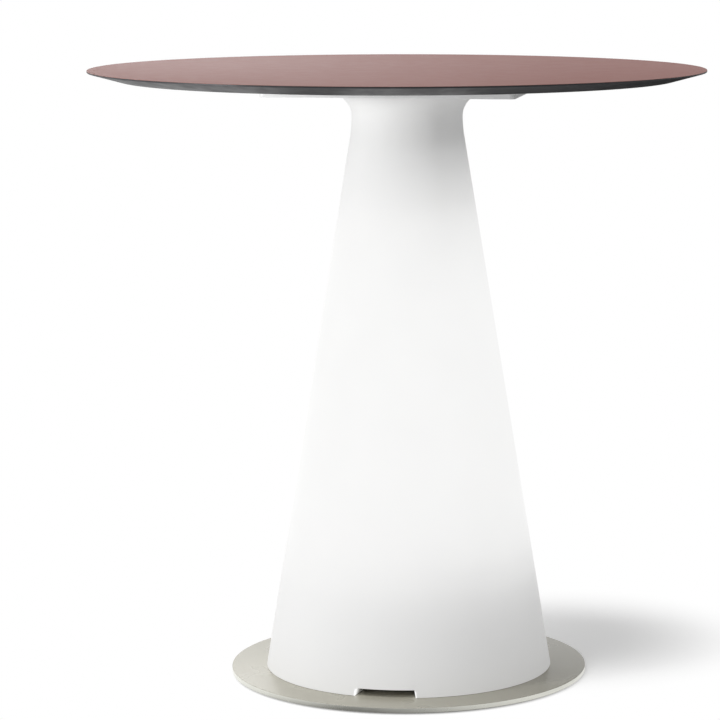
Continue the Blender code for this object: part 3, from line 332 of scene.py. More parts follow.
def carve(mesh, cutters):
    """The mesh less its cutters' meshes, worked out at once."""
    name = mesh.name
    cutter = together(cutters, "cutter")
    body = bpy.data.objects.new("carved", mesh)
    tool = bpy.data.objects.new("cutter", cutter)
    for obj in (body, tool):
        bpy.context.scene.collection.objects.link(obj)
    step = body.modifiers.new("Carve", "BOOLEAN")
    step.operation = "DIFFERENCE"
    step.object = tool
    graph = bpy.context.evaluated_depsgraph_get()
    result = bpy.data.meshes.new_from_object(body.evaluated_get(graph))
    for obj in (body, tool):
        bpy.data.objects.remove(obj, do_unlink=True)
    bpy.data.batch_remove([mesh, cutter])
    result.name = name
    tidy(result)
    return result


def bore(node, profile, segments=32):
    """A cutter: a profile (r, z) turned round the middle of a CAD node."""
    return skin(f"{node}_bore", turned(profile, segments, middle(node)))


def plain_bore(node, radius, top, bottom, segments=32):
    """A cutter for a round hole over the middle of a CAD node."""
    return bore(node, [(0.0, top), (radius, top), (radius, bottom), (0.0, bottom)], segments)


def cad_copy(node):
    """A merged copy of a CAD node's mesh, its flat faces whole again."""
    mesh = frame["nodes"][node].data.copy()
    mesh.name = f"{node}_dressed"
    form = bmesh.new()
    form.from_mesh(mesh)
    bmesh.ops.remove_doubles(form, verts=form.verts, dist=CAD_MERGE_DISTANCE)
    form.to_mesh(mesh)
    form.free()
    tidy(mesh, sharp_angle=30.0, flat_angle=0.3)
    return mesh


# Finishes


class Finish:
    """A Principled material whose patterns read Object coordinates."""

    def __init__(self, name, colour, roughness, metallic=0.0, specular=0.5):
        self.material = bpy.data.materials.new(name)
        self.material.use_nodes = True
        self.tree = self.material.node_tree
        self.shader = self.tree.nodes["Principled BSDF"]
        self.colour = tuple(colour)
        self.shader.inputs["Base Color"].default_value = (*self.colour, 1.0)
        self.shader.inputs["Roughness"].default_value = roughness
        self.shader.inputs["Metallic"].default_value = metallic
        self.shader.inputs["Specular IOR Level"].default_value = specular
        self.place = self.tree.nodes.new("ShaderNodeTexCoord").outputs["Object"]

    def node(self, kind, values=None, links=None):
        """A new node, with values for its sockets or settings and with sockets linked to its inputs."""
        made = self.tree.nodes.new(f"ShaderNode{kind}")
        for key, value in (values or {}).items():
            if key in made.inputs:
                made.inputs[key].default_value = value
            else:
                setattr(made, key, value)
        for key, socket in (links or {}).items():
            self.tree.links.new(socket, made.inputs[key])
        return made

    def worked(self, operation, *terms):
        """The result of a sum whose terms are numbers or sockets."""
        made = self.node("Math", {"operation": operation})
        for place, term in zip(made.inputs, terms):
            if isinstance(term, bpy.types.NodeSocket):
                self.tree.links.new(term, place)
            else:
                place.default_value = term
        return made.outputs["Value"]

    def noise(self, scale, detail=2.0, stretch=(1.0, 1.0, 1.0)):
        """Grey noise on the piece's own coordinates, scale being its cells to a metre."""
        placed = self.node("Mapping", {"Scale": stretch}, {"Vector": self.place}).outputs["Vector"]
        made = self.node("TexNoise", {"Scale": scale, "Detail": detail}, {"Vector": placed})
        return made.outputs["Fac"]

    def ranged(self, value, least, most, start=0.35, end=0.65):
        """Maps a value between start and end onto least and most."""
        limits = {"From Min": start, "From Max": end, "To Min": least, "To Max": most}
        return self.node("MapRange", limits, {"Value": value}).outputs["Result"]

    def blended(self, factor, first, second):
        """A colour between two, each a colour or a socket."""
        made = self.node("Mix", {"data_type": "RGBA"})
        self.tree.links.new(factor, made.inputs["Factor"])
        for key, colour in (("A", first), ("B", second)):
            socket = [s for s in made.inputs if s.name == key and s.type == "RGBA"][0]
            if isinstance(colour, bpy.types.NodeSocket):
                self.tree.links.new(colour, socket)
            else:
                socket.default_value = (*colour, 1.0)
        return [s for s in made.outputs if s.type == "RGBA"][0]

    def tones(self, factor, spread):
        """The base colour, lighter and darker by a spread."""
        dark = [c * (1 - spread) for c in self.colour]
        light = [min(1.0, c * (1 + spread)) for c in self.colour]
        return self.blended(factor, dark, light)

    def set(self, key, socket):
        """Links a socket to one of the shader's inputs."""
        self.tree.links.new(socket, self.shader.inputs[key])

    def bump(self, height, strength, distance):
        """Raises the surface where height is high, by the distance at most."""
        made = self.node("Bump", {"Strength": strength, "Distance": distance}, {"Height": height})
        self.set("Normal", made.outputs["Normal"])

    def mottle(self, scale, spread, least, most, coarser=0.6):
        """Uneven colour from one noise, and roughness between least and most from a coarser one."""
        grain = self.ranged(self.noise(scale, detail=3.0), 0.0, 1.0)
        self.set("Base Color", self.tones(grain, spread))
        self.set("Roughness", self.ranged(self.noise(scale * coarser), least, most))


def powder_coat(name, colour, rough, spread, peel, specular=0.5):
    """Satin paint with a fine orange peel."""
    coat = Finish(name, colour, rough, specular=specular)
    coat.mottle(scale=28.0, spread=spread, least=0.97 * rough, most=1.03 * rough)
    coat.bump(coat.noise(scale=900.0), strength=peel, distance=0.00008)
    return coat.material


def smooth_rim(settings):
    """The disc's upright edge, turned and lacquered, which mirrors what stands round it."""
    rim = Finish("lacquered_rim", settings.rim, 0.30, metallic=1.0)
    rim.mottle(scale=60.0, spread=0.02, least=0.27, most=0.34)
    rim.bump(rim.noise(scale=900.0, stretch=(1.0, 1.0, 0.2)), strength=0.06, distance=0.00004)
    return rim.material


def laminate(settings):
    """Mauve decor with a fine pearl texture."""
    board = Finish("mauve_laminate", settings.face, 0.5, specular=0.02)
    flecks = board.ranged(board.noise(scale=420.0, detail=4.0), 0.0, 1.0)
    clouds = board.ranged(board.noise(scale=9.0), 0.0, 1.0, start=0.3, end=0.7)
    decor = board.blended(clouds, board.tones(flecks, spread=0.02), board.tones(flecks, spread=0.03))
    board.set("Base Color", decor)
    board.set("Roughness", board.ranged(board.noise(scale=60.0), least=0.48, most=0.52))
    board.bump(board.noise(scale=1600.0), strength=0.10, distance=0.00006)
    return board.material


def cut_core(settings):
    """The board's dark core, which shows on the cut edge and underneath, smoothed by the cutter."""
    core = Finish("laminate_core", settings.core, 0.40, specular=0.17)
    core.mottle(scale=90.0, spread=0.10, least=0.36, most=0.46)
    core.bump(core.noise(scale=1200.0), strength=0.08, distance=0.00005)
    return core.material


# Places up the cone and how strongly it glows there, both as shares
GLOW_SHARES = [
    (0.0, 0.32), (0.03, 0.33), (0.09, 0.37), (0.14, 0.48), (0.19, 0.68), (0.28, 0.88), (0.45, 0.92),
    (0.62, 0.92), (0.74, 0.86), (0.83, 0.60), (0.90, 0.26), (0.95, 0.02), (1.0, 0.0),
]


def lit_plastic(settings):
    """White moulding that glows most half way up and least at its ends, and only where its mesh is lit."""
    plastic = Finish("lit_white_plastic", settings.plastic, 0.60, specular=0.02)
    height = plastic.node("SeparateXYZ", links={"Vector": plastic.place}).outputs["Z"]
    share = plastic.ranged(height, 0.0, 1.0, low("light_column").z, high("light_column").z)
    curve = plastic.node("FloatCurve", links={"Value": share})
    points = curve.mapping.curves[0].points
    points[0].location = GLOW_SHARES[0]
    points[1].location = GLOW_SHARES[-1]
    for place in GLOW_SHARES[1:-1]:
        points.new(*place)
    curve.mapping.update()
    marked = plastic.node("Attribute", {"attribute_name": "lit"}).outputs["Fac"]
    lit = plastic.worked("MULTIPLY", curve.outputs["Value"], marked)
    cloud = plastic.ranged(plastic.noise(scale=12.0), least=0.985, most=1.0)
    glow = plastic.worked("MULTIPLY", lit, cloud)
    unlit = plastic.tones(cloud, spread=0.01)
    plastic.set("Base Color", plastic.blended(lit, unlit, (0.0, 0.0, 0.0)))
    plastic.shader.inputs["Emission Color"].default_value = (1.0, 1.0, 0.995, 1.0)
    plastic.set("Emission Strength", plastic.worked("MULTIPLY", glow, settings.glow))
    plastic.set("Roughness", plastic.ranged(plastic.noise(scale=40.0), least=0.52, most=0.60))
    plastic.bump(plastic.noise(scale=700.0), strength=0.06, distance=0.00006)
    return plastic.material


def plated(name, colour, rough=0.32):
    """Bright zinc plate with faint draw marks."""
    metal = Finish(name, colour, rough, metallic=1.0)
    metal.mottle(scale=160.0, spread=0.05, least=rough - 0.06, most=rough + 0.10)
    metal.bump(metal.noise(scale=1500.0, stretch=(1.0, 1.0, 0.15)), strength=0.12, distance=0.00005)
    return metal.material


def extruded(name, colour, rough=0.36):
    """Plain aluminium with lines along its length."""
    metal = Finish(name, colour, rough, metallic=1.0)
    metal.mottle(scale=40.0, spread=0.03, least=rough - 0.05, most=rough + 0.08)
    metal.bump(metal.noise(scale=900.0, stretch=(1.0, 1.0, 0.02)), strength=0.15, distance=0.00004)
    return metal.material


def moulded(name, colour, rough, spread=0.06, grain=0.2):
    """Plastic or rubber with a fine spark-eroded grain."""
    plastic = Finish(name, colour, rough)
    plastic.mottle(scale=60.0, spread=spread, least=rough - 0.05, most=rough + 0.08)
    plastic.bump(plastic.noise(scale=1400.0, detail=3.0), strength=grain, distance=0.00006)
    return plastic.material


def light_board(name, diode_height=0.0005):
    """White solder mask whose raised diodes glow: only what stands furthest from the axis gives light."""
    board = Finish(name, (0.86, 0.88, 0.86), 0.42)
    board.mottle(scale=80.0, spread=0.02, least=0.38, most=0.50)
    board.bump(board.noise(scale=1200.0), strength=0.1, distance=0.00005)
    place = board.node("SeparateXYZ", links={"Vector": board.place}).outputs
    across = board.worked("ABSOLUTE", board.worked("SUBTRACT", place["X"], AXIS_X))
    along = board.worked("ABSOLUTE", place["Y"])
    furthest = max(high(f"led_board_{i + 1}").x - AXIS_X for i in range(4))
    lit = board.worked("GREATER_THAN", board.worked("MAXIMUM", across, along), furthest - diode_height)
    board.shader.inputs["Emission Color"].default_value = (1.0, 1.0, 0.98, 1.0)
    board.set("Emission Strength", lit)
    return board.material


def circuit_board(name):
    """Green solder mask over faint copper tracks."""
    mask, track = (0.02, 0.13, 0.05), (0.05, 0.22, 0.08)
    board = Finish(name, mask, 0.35)
    tracks = board.node("TexBrick", {"Scale": 240.0, "Mortar Size": 0.03}, {"Vector": board.place})
    board.set("Base Color", board.blended(tracks.outputs["Fac"], mask, track))
    board.bump(tracks.outputs["Fac"], strength=0.3, distance=0.00004)
    return board.material


def taped(name):
    """Yellow insulating tape with wound edges."""
    tape = Finish(name, (0.72, 0.56, 0.09), 0.45)
    tape.mottle(scale=120.0, spread=0.05, least=0.40, most=0.55)
    winding = {"Scale": 260.0, "bands_direction": "Z", "Distortion": 0.4}
    wound = tape.node("TexWave", winding, {"Vector": tape.place})
    tape.bump(wound.outputs["Fac"], strength=0.25, distance=0.00006)
    return tape.material


class TABLE_OT_finishes(bpy.types.Operator):
    """Makes every finish and puts it on the CAD nodes, from which the new pieces take theirs"""

    bl_idname = "lit_table.finishes"
    bl_label = "Finishes"

    def execute(self, context):
        settings = context.scene.lit_table
        made = {
            "laminate": laminate(settings.top),
            "cast_paint": powder_coat(
                "off_white_paint", (0.88, 0.88, 0.88), rough=0.50, spread=0.015, peel=0.2, specular=1.0
            ),
            "lit_plastic": lit_plastic(settings.cone),
            "greige_paint": powder_coat(
                "greige_paint", settings.disc.paint, rough=0.28, spread=0.01, peel=0.06, specular=0.36
            ),
            "black_steel": powder_coat("black_steel", (0.03, 0.03, 0.03), rough=0.42, spread=0.08, peel=0.2),
            "zinc": plated("zinc_plate", (0.62, 0.63, 0.65)),
            "aluminium": extruded("plain_aluminium", (0.80, 0.81, 0.82)),
            "gasket_rubber": moulded("gasket_rubber", (0.42, 0.42, 0.41), rough=0.62),
            "glide_plastic": moulded("glide_plastic", (0.045, 0.045, 0.045), rough=0.5),
            "black_plastic": moulded("black_plastic", (0.02, 0.02, 0.02), rough=0.45),
            "white_plastic": moulded("white_plastic", (0.85, 0.85, 0.83), rough=0.45, spread=0.02, grain=0.1),
            "light_board": light_board("light_board"),
            "green_board": circuit_board("green_board"),
            "yellow_tape": taped("yellow_tape"),
        }
        for part in frame["record"]["subparts"]:
            slots = frame["nodes"][part["node"]].data.materials
            slots.clear()
            slots.append(made[part["material_slot"]])
        return {"FINISHED"}


def finish_of(node):
    """The finish and the slot's name that a CAD node carries."""
    slot = next(part["material_slot"] for part in frame["record"]["subparts"] if part["node"] == node)
    return frame["nodes"][node].data.materials[0], slot


# Screws and their holes


class Screw(NamedTuple):
    """A screw whose head faces down: four radii, then heights over the head's face.

    The head is upright up to its land and narrows to the shank at its top. The six-sided socket narrows to
    its floor, where a drill's cone rises to the tip. Rounding has one reach for each corner of the outline.
    """

    shank: float
    head: float
    socket: float
    socket_floor: float
    land: float
    head_top: float
    socket_top: float
    socket_tip: float
    rounding: tuple


BASE_BOLT = Screw(
    shank=0.004,
    head=0.0075,
    socket=0.0025,
    socket_floor=0.0023,
    land=0.0002,
    head_top=0.0036,
    socket_top=0.0024,
    socket_tip=0.0030,
    rounding=(0.0, 0.0005, 0.0004, 0.0001, 0.0001, 0.0002, 0.0, 0.0),
)
TOP_SCREW = Screw(
    shank=0.0025,
    head=0.0046,
    socket=0.0017,
    socket_floor=0.0016,
    land=0.003,
    head_top=0.003,
    socket_top=0.0017,
    socket_tip=0.0021,
    rounding=(0.0, 0.0005, 0.0002, 0.0003, 0.0005, 0.0001, 0.0, 0.0),
)
SMALL_SCREWS = ("driver_screw_1", "driver_screw_2", "locator_screw_1", "locator_screw_2", "locator_screw_3")
SMALL_SCREW_RADIUS = 0.002
STUD_RADIUS = 0.0037
STUD_HEADROOM = 0.0005
HOLE_SLACK = 0.0003
OVERRUN = 0.001


def socket_screw(name, node, screw):
    """Turns a screw over the middle of a CAD node and between its ends."""
    face, end = low(node).z, high(node).z
    corners = [
        (0.0, end),
        (screw.shank, end),
        (screw.shank, face + screw.head_top),
        (screw.head, face + screw.land),
        (screw.head, face),
        (screw.socket, face),
        (screw.socket_floor, face + screw.socket_top),
        (0.0, face + screw.socket_tip),
    ]
    six_sided = [0, 0, 0, 0, 0, 1, 1, 0]
    steps = 3
    profile = eased(corners, screw.rounding, steps)
    facets = np.repeat(six_sided, steps + 1)
    points = turned(profile, segments=48, centre=middle(node), facets=facets)
    piece(name, skin(name, points, sharp_angle=28.0), "table", node)


class TABLE_OT_screws(bpy.types.Operator):
    """Turns the screws that show from below, each with a six-sided socket"""

    bl_idname = "lit_table.screws"
    bl_label = "Screws"

    def execute(self, context):
        for i in range(4):
            socket_screw(f"socket_bolt_{i + 1}", f"base_bolt_{i + 1}", BASE_BOLT)
            socket_screw(f"plate_screw_{i + 1}", f"top_screw_{i + 1}", TOP_SCREW)
        return {"FINISHED"}


# The top, the cone and the head plate


class TABLE_OT_laminate_top(bpy.types.Operator):
    """Turns the round top with its land and its wide under bevel, and bores its screw holes"""

    bl_idname = "lit_table.laminate_top"
    bl_label = "Laminate top"

    def execute(self, context):
        top = context.scene.lit_table.top
        underside, face = low("table_top").z, high("table_top").z
        corners = [
            (0.0, face),
            (top.radius, face),
            (top.radius, face - top.land),
            (top.radius - top.bevel, underside),
            (0.0, underside),
        ]
        profile = eased(corners, [0.0, top.arris, top.arris, top.arris * 4, 0.0])
        mesh = skin("laminate_top", turned(profile, top.segments))
        bores = []
        for i in range(4):
            screw = f"top_screw_{i + 1}"
            end = high(screw).z + HOLE_SLACK
            radius = TOP_SCREW.shank + HOLE_SLACK
            bores.append(plain_bore(screw, radius, end, underside - OVERRUN, segments=24))
        mesh = carve(mesh, bores)
        piece("laminate_top", mesh, "table", "table_top")
        mesh.materials.append(cut_core(top))
        for side in mesh.polygons:
            side.material_index = int(side.center.z < face - top.arris)
        return {"FINISHED"}


# Steps of the cone's outline: round the flare, round the neck's bend, down the flank, on the six lines
# round the foot, and on the four of them that the notch's ceiling takes the place of
FLARE_STEPS = 18
BEND_STEPS = 10
FLANK_STEPS = 24
FOOT_STEPS = (4, 2, 4, 4, 2, 4)
CEILING_STEPS = sum(FOOT_STEPS[:4])
# Where the lowest of the plain inner face's stops lies, as a share of the notch's height
LOW_STOP_SHARE = 0.3
# Columns round the plain cone, across the notch and in each of its side walls
PLAIN_COLUMNS = 225
NOTCH_COLUMNS = 25
WALL_COLUMNS = 3
SAME_ANGLE = 1e-9


def cone_faces(cone, foot, lip_top):
    """The cone's outer and inner face, each as points (r, z) down to the flank and its foot, and the lean.

    Over the neck the face is an arc that ends level with the lip, below it an arc of the neck bend that runs
    straight into the flank, and the flank is the line from there to the foot.
    """
    centre = cone.neck_radius + cone.flare_bend
    neck = lip_top - cone.lip_edge - math.sqrt(cone.flare_bend**2 - (centre - cone.lip_radius) ** 2)
    bend_centre = cone.neck_radius + cone.neck_bend
    run, drop = bend_centre - cone.foot_radius, neck - foot
    lean = math.asin(cone.neck_bend / math.hypot(run, drop)) - math.atan2(run, drop)
    faces = []
    for depth in (0.0, cone.wall):
        flare = cone.flare_bend + depth
        if depth:
            start = math.asin((lip_top - neck) / flare)
        else:
            start = math.acos((centre - cone.lip_radius) / flare)
        upper = arc((centre, neck), flare, math.pi - start, math.pi, FLARE_STEPS)
        lower = arc((bend_centre, neck), cone.neck_bend + depth, math.pi, math.pi + lean, BEND_STEPS)
        bottom = (cone.foot_radius - depth / math.cos(lean), foot)
        faces.append((np.concatenate([upper, lower[1:]]), bottom))
    return faces, lean


def cone_outlines(cone, foot, lip_top):
    """Three outlines (r, z) of the cone's wall with equal numbers of points, and how many lie over the notch.

    Each runs from the lip down the outer face, round the foot and up the inner face to the lip. The first is
    plain, the second goes through a side wall of the notch's tunnel, and the third under its ceiling.
    """
    ((outer, outer_foot), (inner, inner_foot)), lean = cone_faces(cone, foot, lip_top)

    def on_face(height, at_foot):
        return (at_foot[0] - (height - foot) * math.tan(lean), height)

    notch_top = foot + cone.notch_height
    roof = notch_top + cone.tunnel_wall
    end = cone.foot_radius - cone.tunnel_depth
    outer_notch, inner_roof = on_face(notch_top, outer_foot), on_face(roof, inner_foot)
    down = np.concatenate([outer, line(outer[-1], outer_notch, FLANK_STEPS)[1:]])
    up = np.concatenate([line(inner_roof, inner[-1], FLANK_STEPS), inner[::-1][1:]])
    heights = (foot + LOW_STOP_SHARE * cone.notch_height, notch_top, notch_top + cone.tunnel_wall / 2)
    inner_stops = [on_face(height, inner_foot) for height in heights]
    plain = route([outer_notch, outer_foot, inner_foot, *inner_stops, inner_roof], FOOT_STEPS)
    stops = [outer_notch, outer_foot, inner_foot, (end, foot), (end, notch_top), (end, roof), inner_roof]
    walled = route(stops, FOOT_STEPS)
    passage = walled.copy()
    passage[:CEILING_STEPS] = line(outer_notch, (end, notch_top), CEILING_STEPS)[1:]
    return [np.concatenate([down, foot_line, up[1:]]) for foot_line in (plain, walled, passage)], len(down)


class TABLE_OT_lit_cone(bpy.types.Operator):
    """Lofts the moulded cone, its flared lip, its foot and the tunnel behind its cable notch"""

    bl_idname = "lit_table.lit_cone"
    bl_label = "Lit cone"

    def execute(self, context):
        cone = context.scene.lit_table.cone
        foot = low("light_column").z
        outlines, down = cone_outlines(cone, foot, high("light_column").z)

        half = math.asin(cone.notch_width / 2 / cone.foot_radius)
        wall_edge = half + cone.tunnel_wall / cone.foot_radius
        around = np.linspace(wall_edge, FULL_TURN - wall_edge, PLAIN_COLUMNS)
        across = np.linspace(-half, half, NOTCH_COLUMNS)
        beside = np.linspace(half, wall_edge, WALL_COLUMNS)
        angle = np.concatenate([around, -beside[::-1], across, beside])
        kind = np.repeat([0, 1, 2, 1], [PLAIN_COLUMNS, WALL_COLUMNS, NOTCH_COLUMNS, WALL_COLUMNS])

        r, z = np.stack(outlines, axis=-1)[:, :, kind].transpose(1, 0, 2)
        rise = np.clip((z - foot) / cone.notch_height, 0.0, 1.0)
        in_notch = np.abs(angle) <= half + SAME_ANGLE
        squeeze = np.where(in_notch, 1.0 - (1.0 - cone.notch_taper) * rise, 1.0)
        theta = angle * squeeze - math.pi / 2
        points = np.stack([AXIS_X + r * np.cos(theta), r * np.sin(theta), z], axis=-1)

        row = np.arange(len(points))[:, None]
        outer_face = row < down + np.where(kind == 2, 0, FOOT_STEPS[0])
        by_passage = (kind == 2) | (np.abs(np.abs(angle) - half) < SAME_ANGLE)
        passage_walls = (row >= down) & (row < down + CEILING_STEPS) & by_passage
        depth = np.clip((cone.foot_radius - r) / cone.glow_depth, 0.0, 1.0)
        lit = np.where(passage_walls, cone.notch_glow * (1.0 - depth), np.where(outer_face, 1.0, 0.0))

        mesh = skin("moulded_cone", points, closed=True, lit=lit)
        obj = piece("moulded_cone", mesh, "table", "light_column")
        soften(obj, cone.arris)
        return {"FINISHED"}


PLATE_ARRIS = 0.0005


class TABLE_OT_head_plate(bpy.types.Operator):
    """Dresses the cast head plate, its ribs and pockets"""

    bl_idname = "lit_table.head_plate"
    bl_label = "Head plate"

    def execute(self, context):
        obj = piece("cast_head_plate", cad_copy("top_plate"), "table", "top_plate")
        soften(obj, PLATE_ARRIS)
        return {"FINISHED"}


# The disc and its glides

# A face is upright where its normal rises less than this
UPRIGHT_LIMIT = 0.3


class TABLE_OT_disc_base(bpy.types.Operator):
    """Turns the steel disc and bores it for its bolts, glides and screws"""

    bl_idname = "lit_table.disc_base"
    bl_label = "Disc base"

    def execute(self, context):
        disc = context.scene.lit_table.disc
        bottom, top = low("base_disc").z, high("base_disc").z
        over, under = top + OVERRUN, bottom - OVERRUN
        corners = [(0.0, top), (disc.radius, top), (disc.radius, bottom), (0.0, bottom)]
        profile = eased(corners, [0.0, disc.edge, disc.edge, 0.0], steps=5)
        mesh = skin("steel_disc", turned(profile, disc.segments, (AXIS_X, 0.0)))
        shank, head = BASE_BOLT.shank + HOLE_SLACK, BASE_BOLT.head + HOLE_SLACK
        bores = []
        for i in range(4):
            bolt, stud = f"base_bolt_{i + 1}", f"glide_stud_{i + 1}"
            face = low(bolt).z
            sunk = [(0.0, over), (shank, over), (shank, face + BASE_BOLT.head_top), (head, face)]
            bores.append(bore(bolt, [*sunk, (head, under), (0.0, under)]))
            bores.append(plain_bore(stud, STUD_RADIUS + HOLE_SLACK, high(stud).z + STUD_HEADROOM, under))
        for screw in SMALL_SCREWS:
            floor = low(screw).z - HOLE_SLACK
            bores.append(plain_bore(screw, SMALL_SCREW_RADIUS + HOLE_SLACK, over, floor, segments=20))
        mesh = carve(mesh, bores)
        piece("steel_disc", mesh, "table", "base_disc")
        mesh.materials.append(smooth_rim(disc))
        for side in mesh.polygons:
            out = math.hypot(side.center.x - AXIS_X, side.center.y)
            side.material_index = int(out > disc.radius - disc.edge and abs(side.normal.z) < UPRIGHT_LIMIT)
        return {"FINISHED"}


# A glide pad's socket for its stud, whose floor is a share of the pad's height up, and the groove in its
# foot, whose edges and middle are at shares of its radius
PAD_SOCKET_RADIUS = 0.0075
PAD_FLOOR_SHARE = 0.4
GROOVE_SHARES = (0.6, 0.55, 0.5)
GROOVE_DEPTH = 0.0003
PAD_ROUNDING = (0.0, 0.0001, 0.0002, 0.0007, 0.0002, 0.0001, 0.0001, 0.0001, 0.0)


class TABLE_OT_glides(bpy.types.Operator):
    """Turns the four glide pads with rounded edges"""

    bl_idname = "lit_table.glides"
    bl_label = "Glides"

    def execute(self, context):
        for i in range(4):
            node = f"glide_pad_{i + 1}"
            radius, top = half_width(node), high(node).z
            socket_floor = top * PAD_FLOOR_SHARE
            groove = [radius * share for share in GROOVE_SHARES]
            corners = [
                (0.0, socket_floor),
                (PAD_SOCKET_RADIUS, socket_floor),
                (PAD_SOCKET_RADIUS, top),
                (radius, top),
                (radius, 0.0),
                (groove[0], 0.0),
                (groove[1], GROOVE_DEPTH),
                (groove[2], 0.0),
                (0.0, 0.0),
            ]
            points = turned(eased(corners, PAD_ROUNDING), segments=64, centre=middle(node))
            name = f"round_glide_{i + 1}"
            piece(name, skin(name, points), f"pad_{i + 1}", node)
        return {"FINISHED"}


# The studio

WHITE = (1.0, 1.0, 1.0, 1.0)
SENSOR_WIDTH = 36.0
CAMERA_REACH = 200.0
FLOOR_REACH = 40.0
# The floor's grey to the light that bounces off it, and to the camera where it shows shadow
FLOOR_PAINT = 0.62
SHADOW_PAINT = 1.22
# The floor shows shadow in two rounds, each a middle and the distances from it where the shadow fades out
SHADOW_ROUNDS = [((AXIS_X + 0.141, 0.186, 0.0), 0.08, 0.30), ((AXIS_X, 0.0, 0.0), 0.205, 0.222)]
# Polar angle of the room's brighter side
BRIGHT_SIDE = math.radians(165.0)
SUN_WIDTH = math.radians(36.0)
SUN_TILT = math.radians(22.0)
SUN_TURN = math.radians(-60.0)
# The black card's distance behind the column as the camera sees it, and its corners to the column's right
# and over the floor
CARD_BACK = 0.40
CARD = [(-0.20, 0.19), (0.36, 0.19), (0.50, 0.02), (1.60, 0.02), (1.60, 0.70), (-0.20, 0.70)]
# The painted reflection's height over the floor and its reach towards the camera, and how bright it is at
# places to the column's right: it paints the reflection in the disc's rim, standing in for the floor
PAINTED_REFLECTION_HEIGHT = 0.0004
PAINTED_REFLECTION_REACH = 0.34
PAINTED_REFLECTION_TONES = [
    (-0.25, 1.35), (-0.19, 1.0), (-0.15, 0.66), (-0.085, 0.24), (-0.045, 0.24), (0.02, 0.45), (0.10, 0.78),
    (0.17, 0.96), (0.25, 1.0),
]


class TABLE_OT_studio(bpy.types.Operator):
    """Lays the pale floor and sets the light and the camera"""

    bl_idname = "lit_table.studio"
    bl_label = "Studio"

    def execute(self, context):
        scene = context.scene
        studio = scene.lit_table.studio
        scene.view_settings.view_transform = "Standard"
        lay_floor(scene)
        light_room(scene, studio)
        soft_box("side_box", studio.side, size=0.14, polar=-134.0, up=0.0, distance=0.8, aim=0.69)
        soft_box("sheen_box", studio.sheen, size=1.1, polar=110.0, up=17.0, distance=2.5, aim=0.74, roll=45.0)
        hang_sun(scene, studio)
        dark_card(studio)
        # painted reflection for the disc's rim
        painted_rim_reflection(studio)
        set_camera(scene, studio)
        return {"FINISHED"}


def cleared(owner):
    """The empty node tree of a material or a world."""
    owner.use_nodes = True
    owner.node_tree.nodes.clear()
    return owner.node_tree


def mixed(tree, factor, first, second):
    """A mix of two shader nodes."""
    mix = tree.nodes.new("ShaderNodeMixShader")
    for place, socket in zip(mix.inputs, (factor, first.outputs[0], second.outputs[0])):
        tree.links.new(socket, place)
    return mix


def seen_ray(tree):
    """One for camera, glossy and transmission rays, and zero for the rest."""
    path = tree.nodes.new("ShaderNodeLightPath")
    total = path.outputs["Is Camera Ray"]
    for key in ("Is Glossy Ray", "Is Transmission Ray"):
        most = tree.nodes.new("ShaderNodeMath")
        most.operation = "MAXIMUM"
        tree.links.new(total, most.inputs[0])
        tree.links.new(path.outputs[key], most.inputs[1])
        total = most.outputs[0]
    return total


def away_from(tree, centre, start, end):
    """Rises smoothly from zero to one between two distances from a place on the floor."""
    place = tree.nodes.new("ShaderNodeTexCoord")
    distance = tree.nodes.new("ShaderNodeVectorMath")
    distance.operation = "DISTANCE"
    distance.inputs[1].default_value = centre
    tree.links.new(place.outputs["Object"], distance.inputs[0])
    ramp = tree.nodes.new("ShaderNodeMapRange")
    ramp.interpolation_type = "SMOOTHSTEP"
    ramp.inputs["From Min"].default_value = start
    ramp.inputs["From Max"].default_value = end
    tree.links.new(distance.outputs["Value"], ramp.inputs["Value"])
    return ramp.outputs["Result"]


def pale_floor():
    """White to the camera but for the object's shadow, and plain pale paint to the light that bounces off it.

    The shadow shows under the disc and within a third of a metre of a spot behind its right, and fades to
    white from there.
    """
    made = bpy.data.materials.new("pale_floor")
    tree = cleared(made)
    plain = tree.nodes.new("ShaderNodeBsdfDiffuse")
    plain.inputs["Color"].default_value = (FLOOR_PAINT, FLOOR_PAINT, FLOOR_PAINT, 1.0)
    shaded = tree.nodes.new("ShaderNodeBsdfDiffuse")
    shaded.inputs["Color"].default_value = (SHADOW_PAINT, SHADOW_PAINT, SHADOW_PAINT, 1.0)
    white = tree.nodes.new("ShaderNodeEmission")
    white.inputs["Strength"].default_value = 1.0
    clear = tree.nodes.new("ShaderNodeMath")
    clear.operation = "MULTIPLY"
    for place, (centre, start, end) in zip(clear.inputs, SHADOW_ROUNDS):
        tree.links.new(away_from(tree, centre, start, end), place)
    to_camera = mixed(tree, clear.outputs[0], shaded, white)
    out = tree.nodes.new("ShaderNodeOutputMaterial")
    tree.links.new(mixed(tree, seen_ray(tree), plain, to_camera).outputs[0], out.inputs["Surface"])
    return made


def lay_floor(scene):
    """A level square round the table's foot."""
    mesh = bpy.data.meshes.new("floor")
    signs = [(-1, -1), (1, -1), (1, 1), (-1, 1)]
    mesh.from_pydata([(FLOOR_REACH * x, FLOOR_REACH * y, 0.0) for x, y in signs], [], [range(4)])
    mesh.materials.append(pale_floor())
    floor = bpy.data.objects.new("floor", mesh)
    scene.collection.objects.link(floor)


def slanting_light(tree, studio):
    """Strength of the room's light, ambient + slant (d . l): d is the direction and l the brighter side's."""
    facing = tree.nodes.new("ShaderNodeVectorMath")
    facing.operation = "DOT_PRODUCT"
    facing.inputs[1].default_value = (math.cos(BRIGHT_SIDE), math.sin(BRIGHT_SIDE), 0.0)
    direction = tree.nodes.new("ShaderNodeTexCoord")
    tree.links.new(direction.outputs["Generated"], facing.inputs[0])
    light = tree.nodes.new("ShaderNodeMath")
    light.operation = "MULTIPLY_ADD"
    light.inputs[1].default_value = studio.slant
    light.inputs[2].default_value = studio.ambient
    tree.links.new(facing.outputs["Value"], light.inputs[0])
    return light.outputs[0]


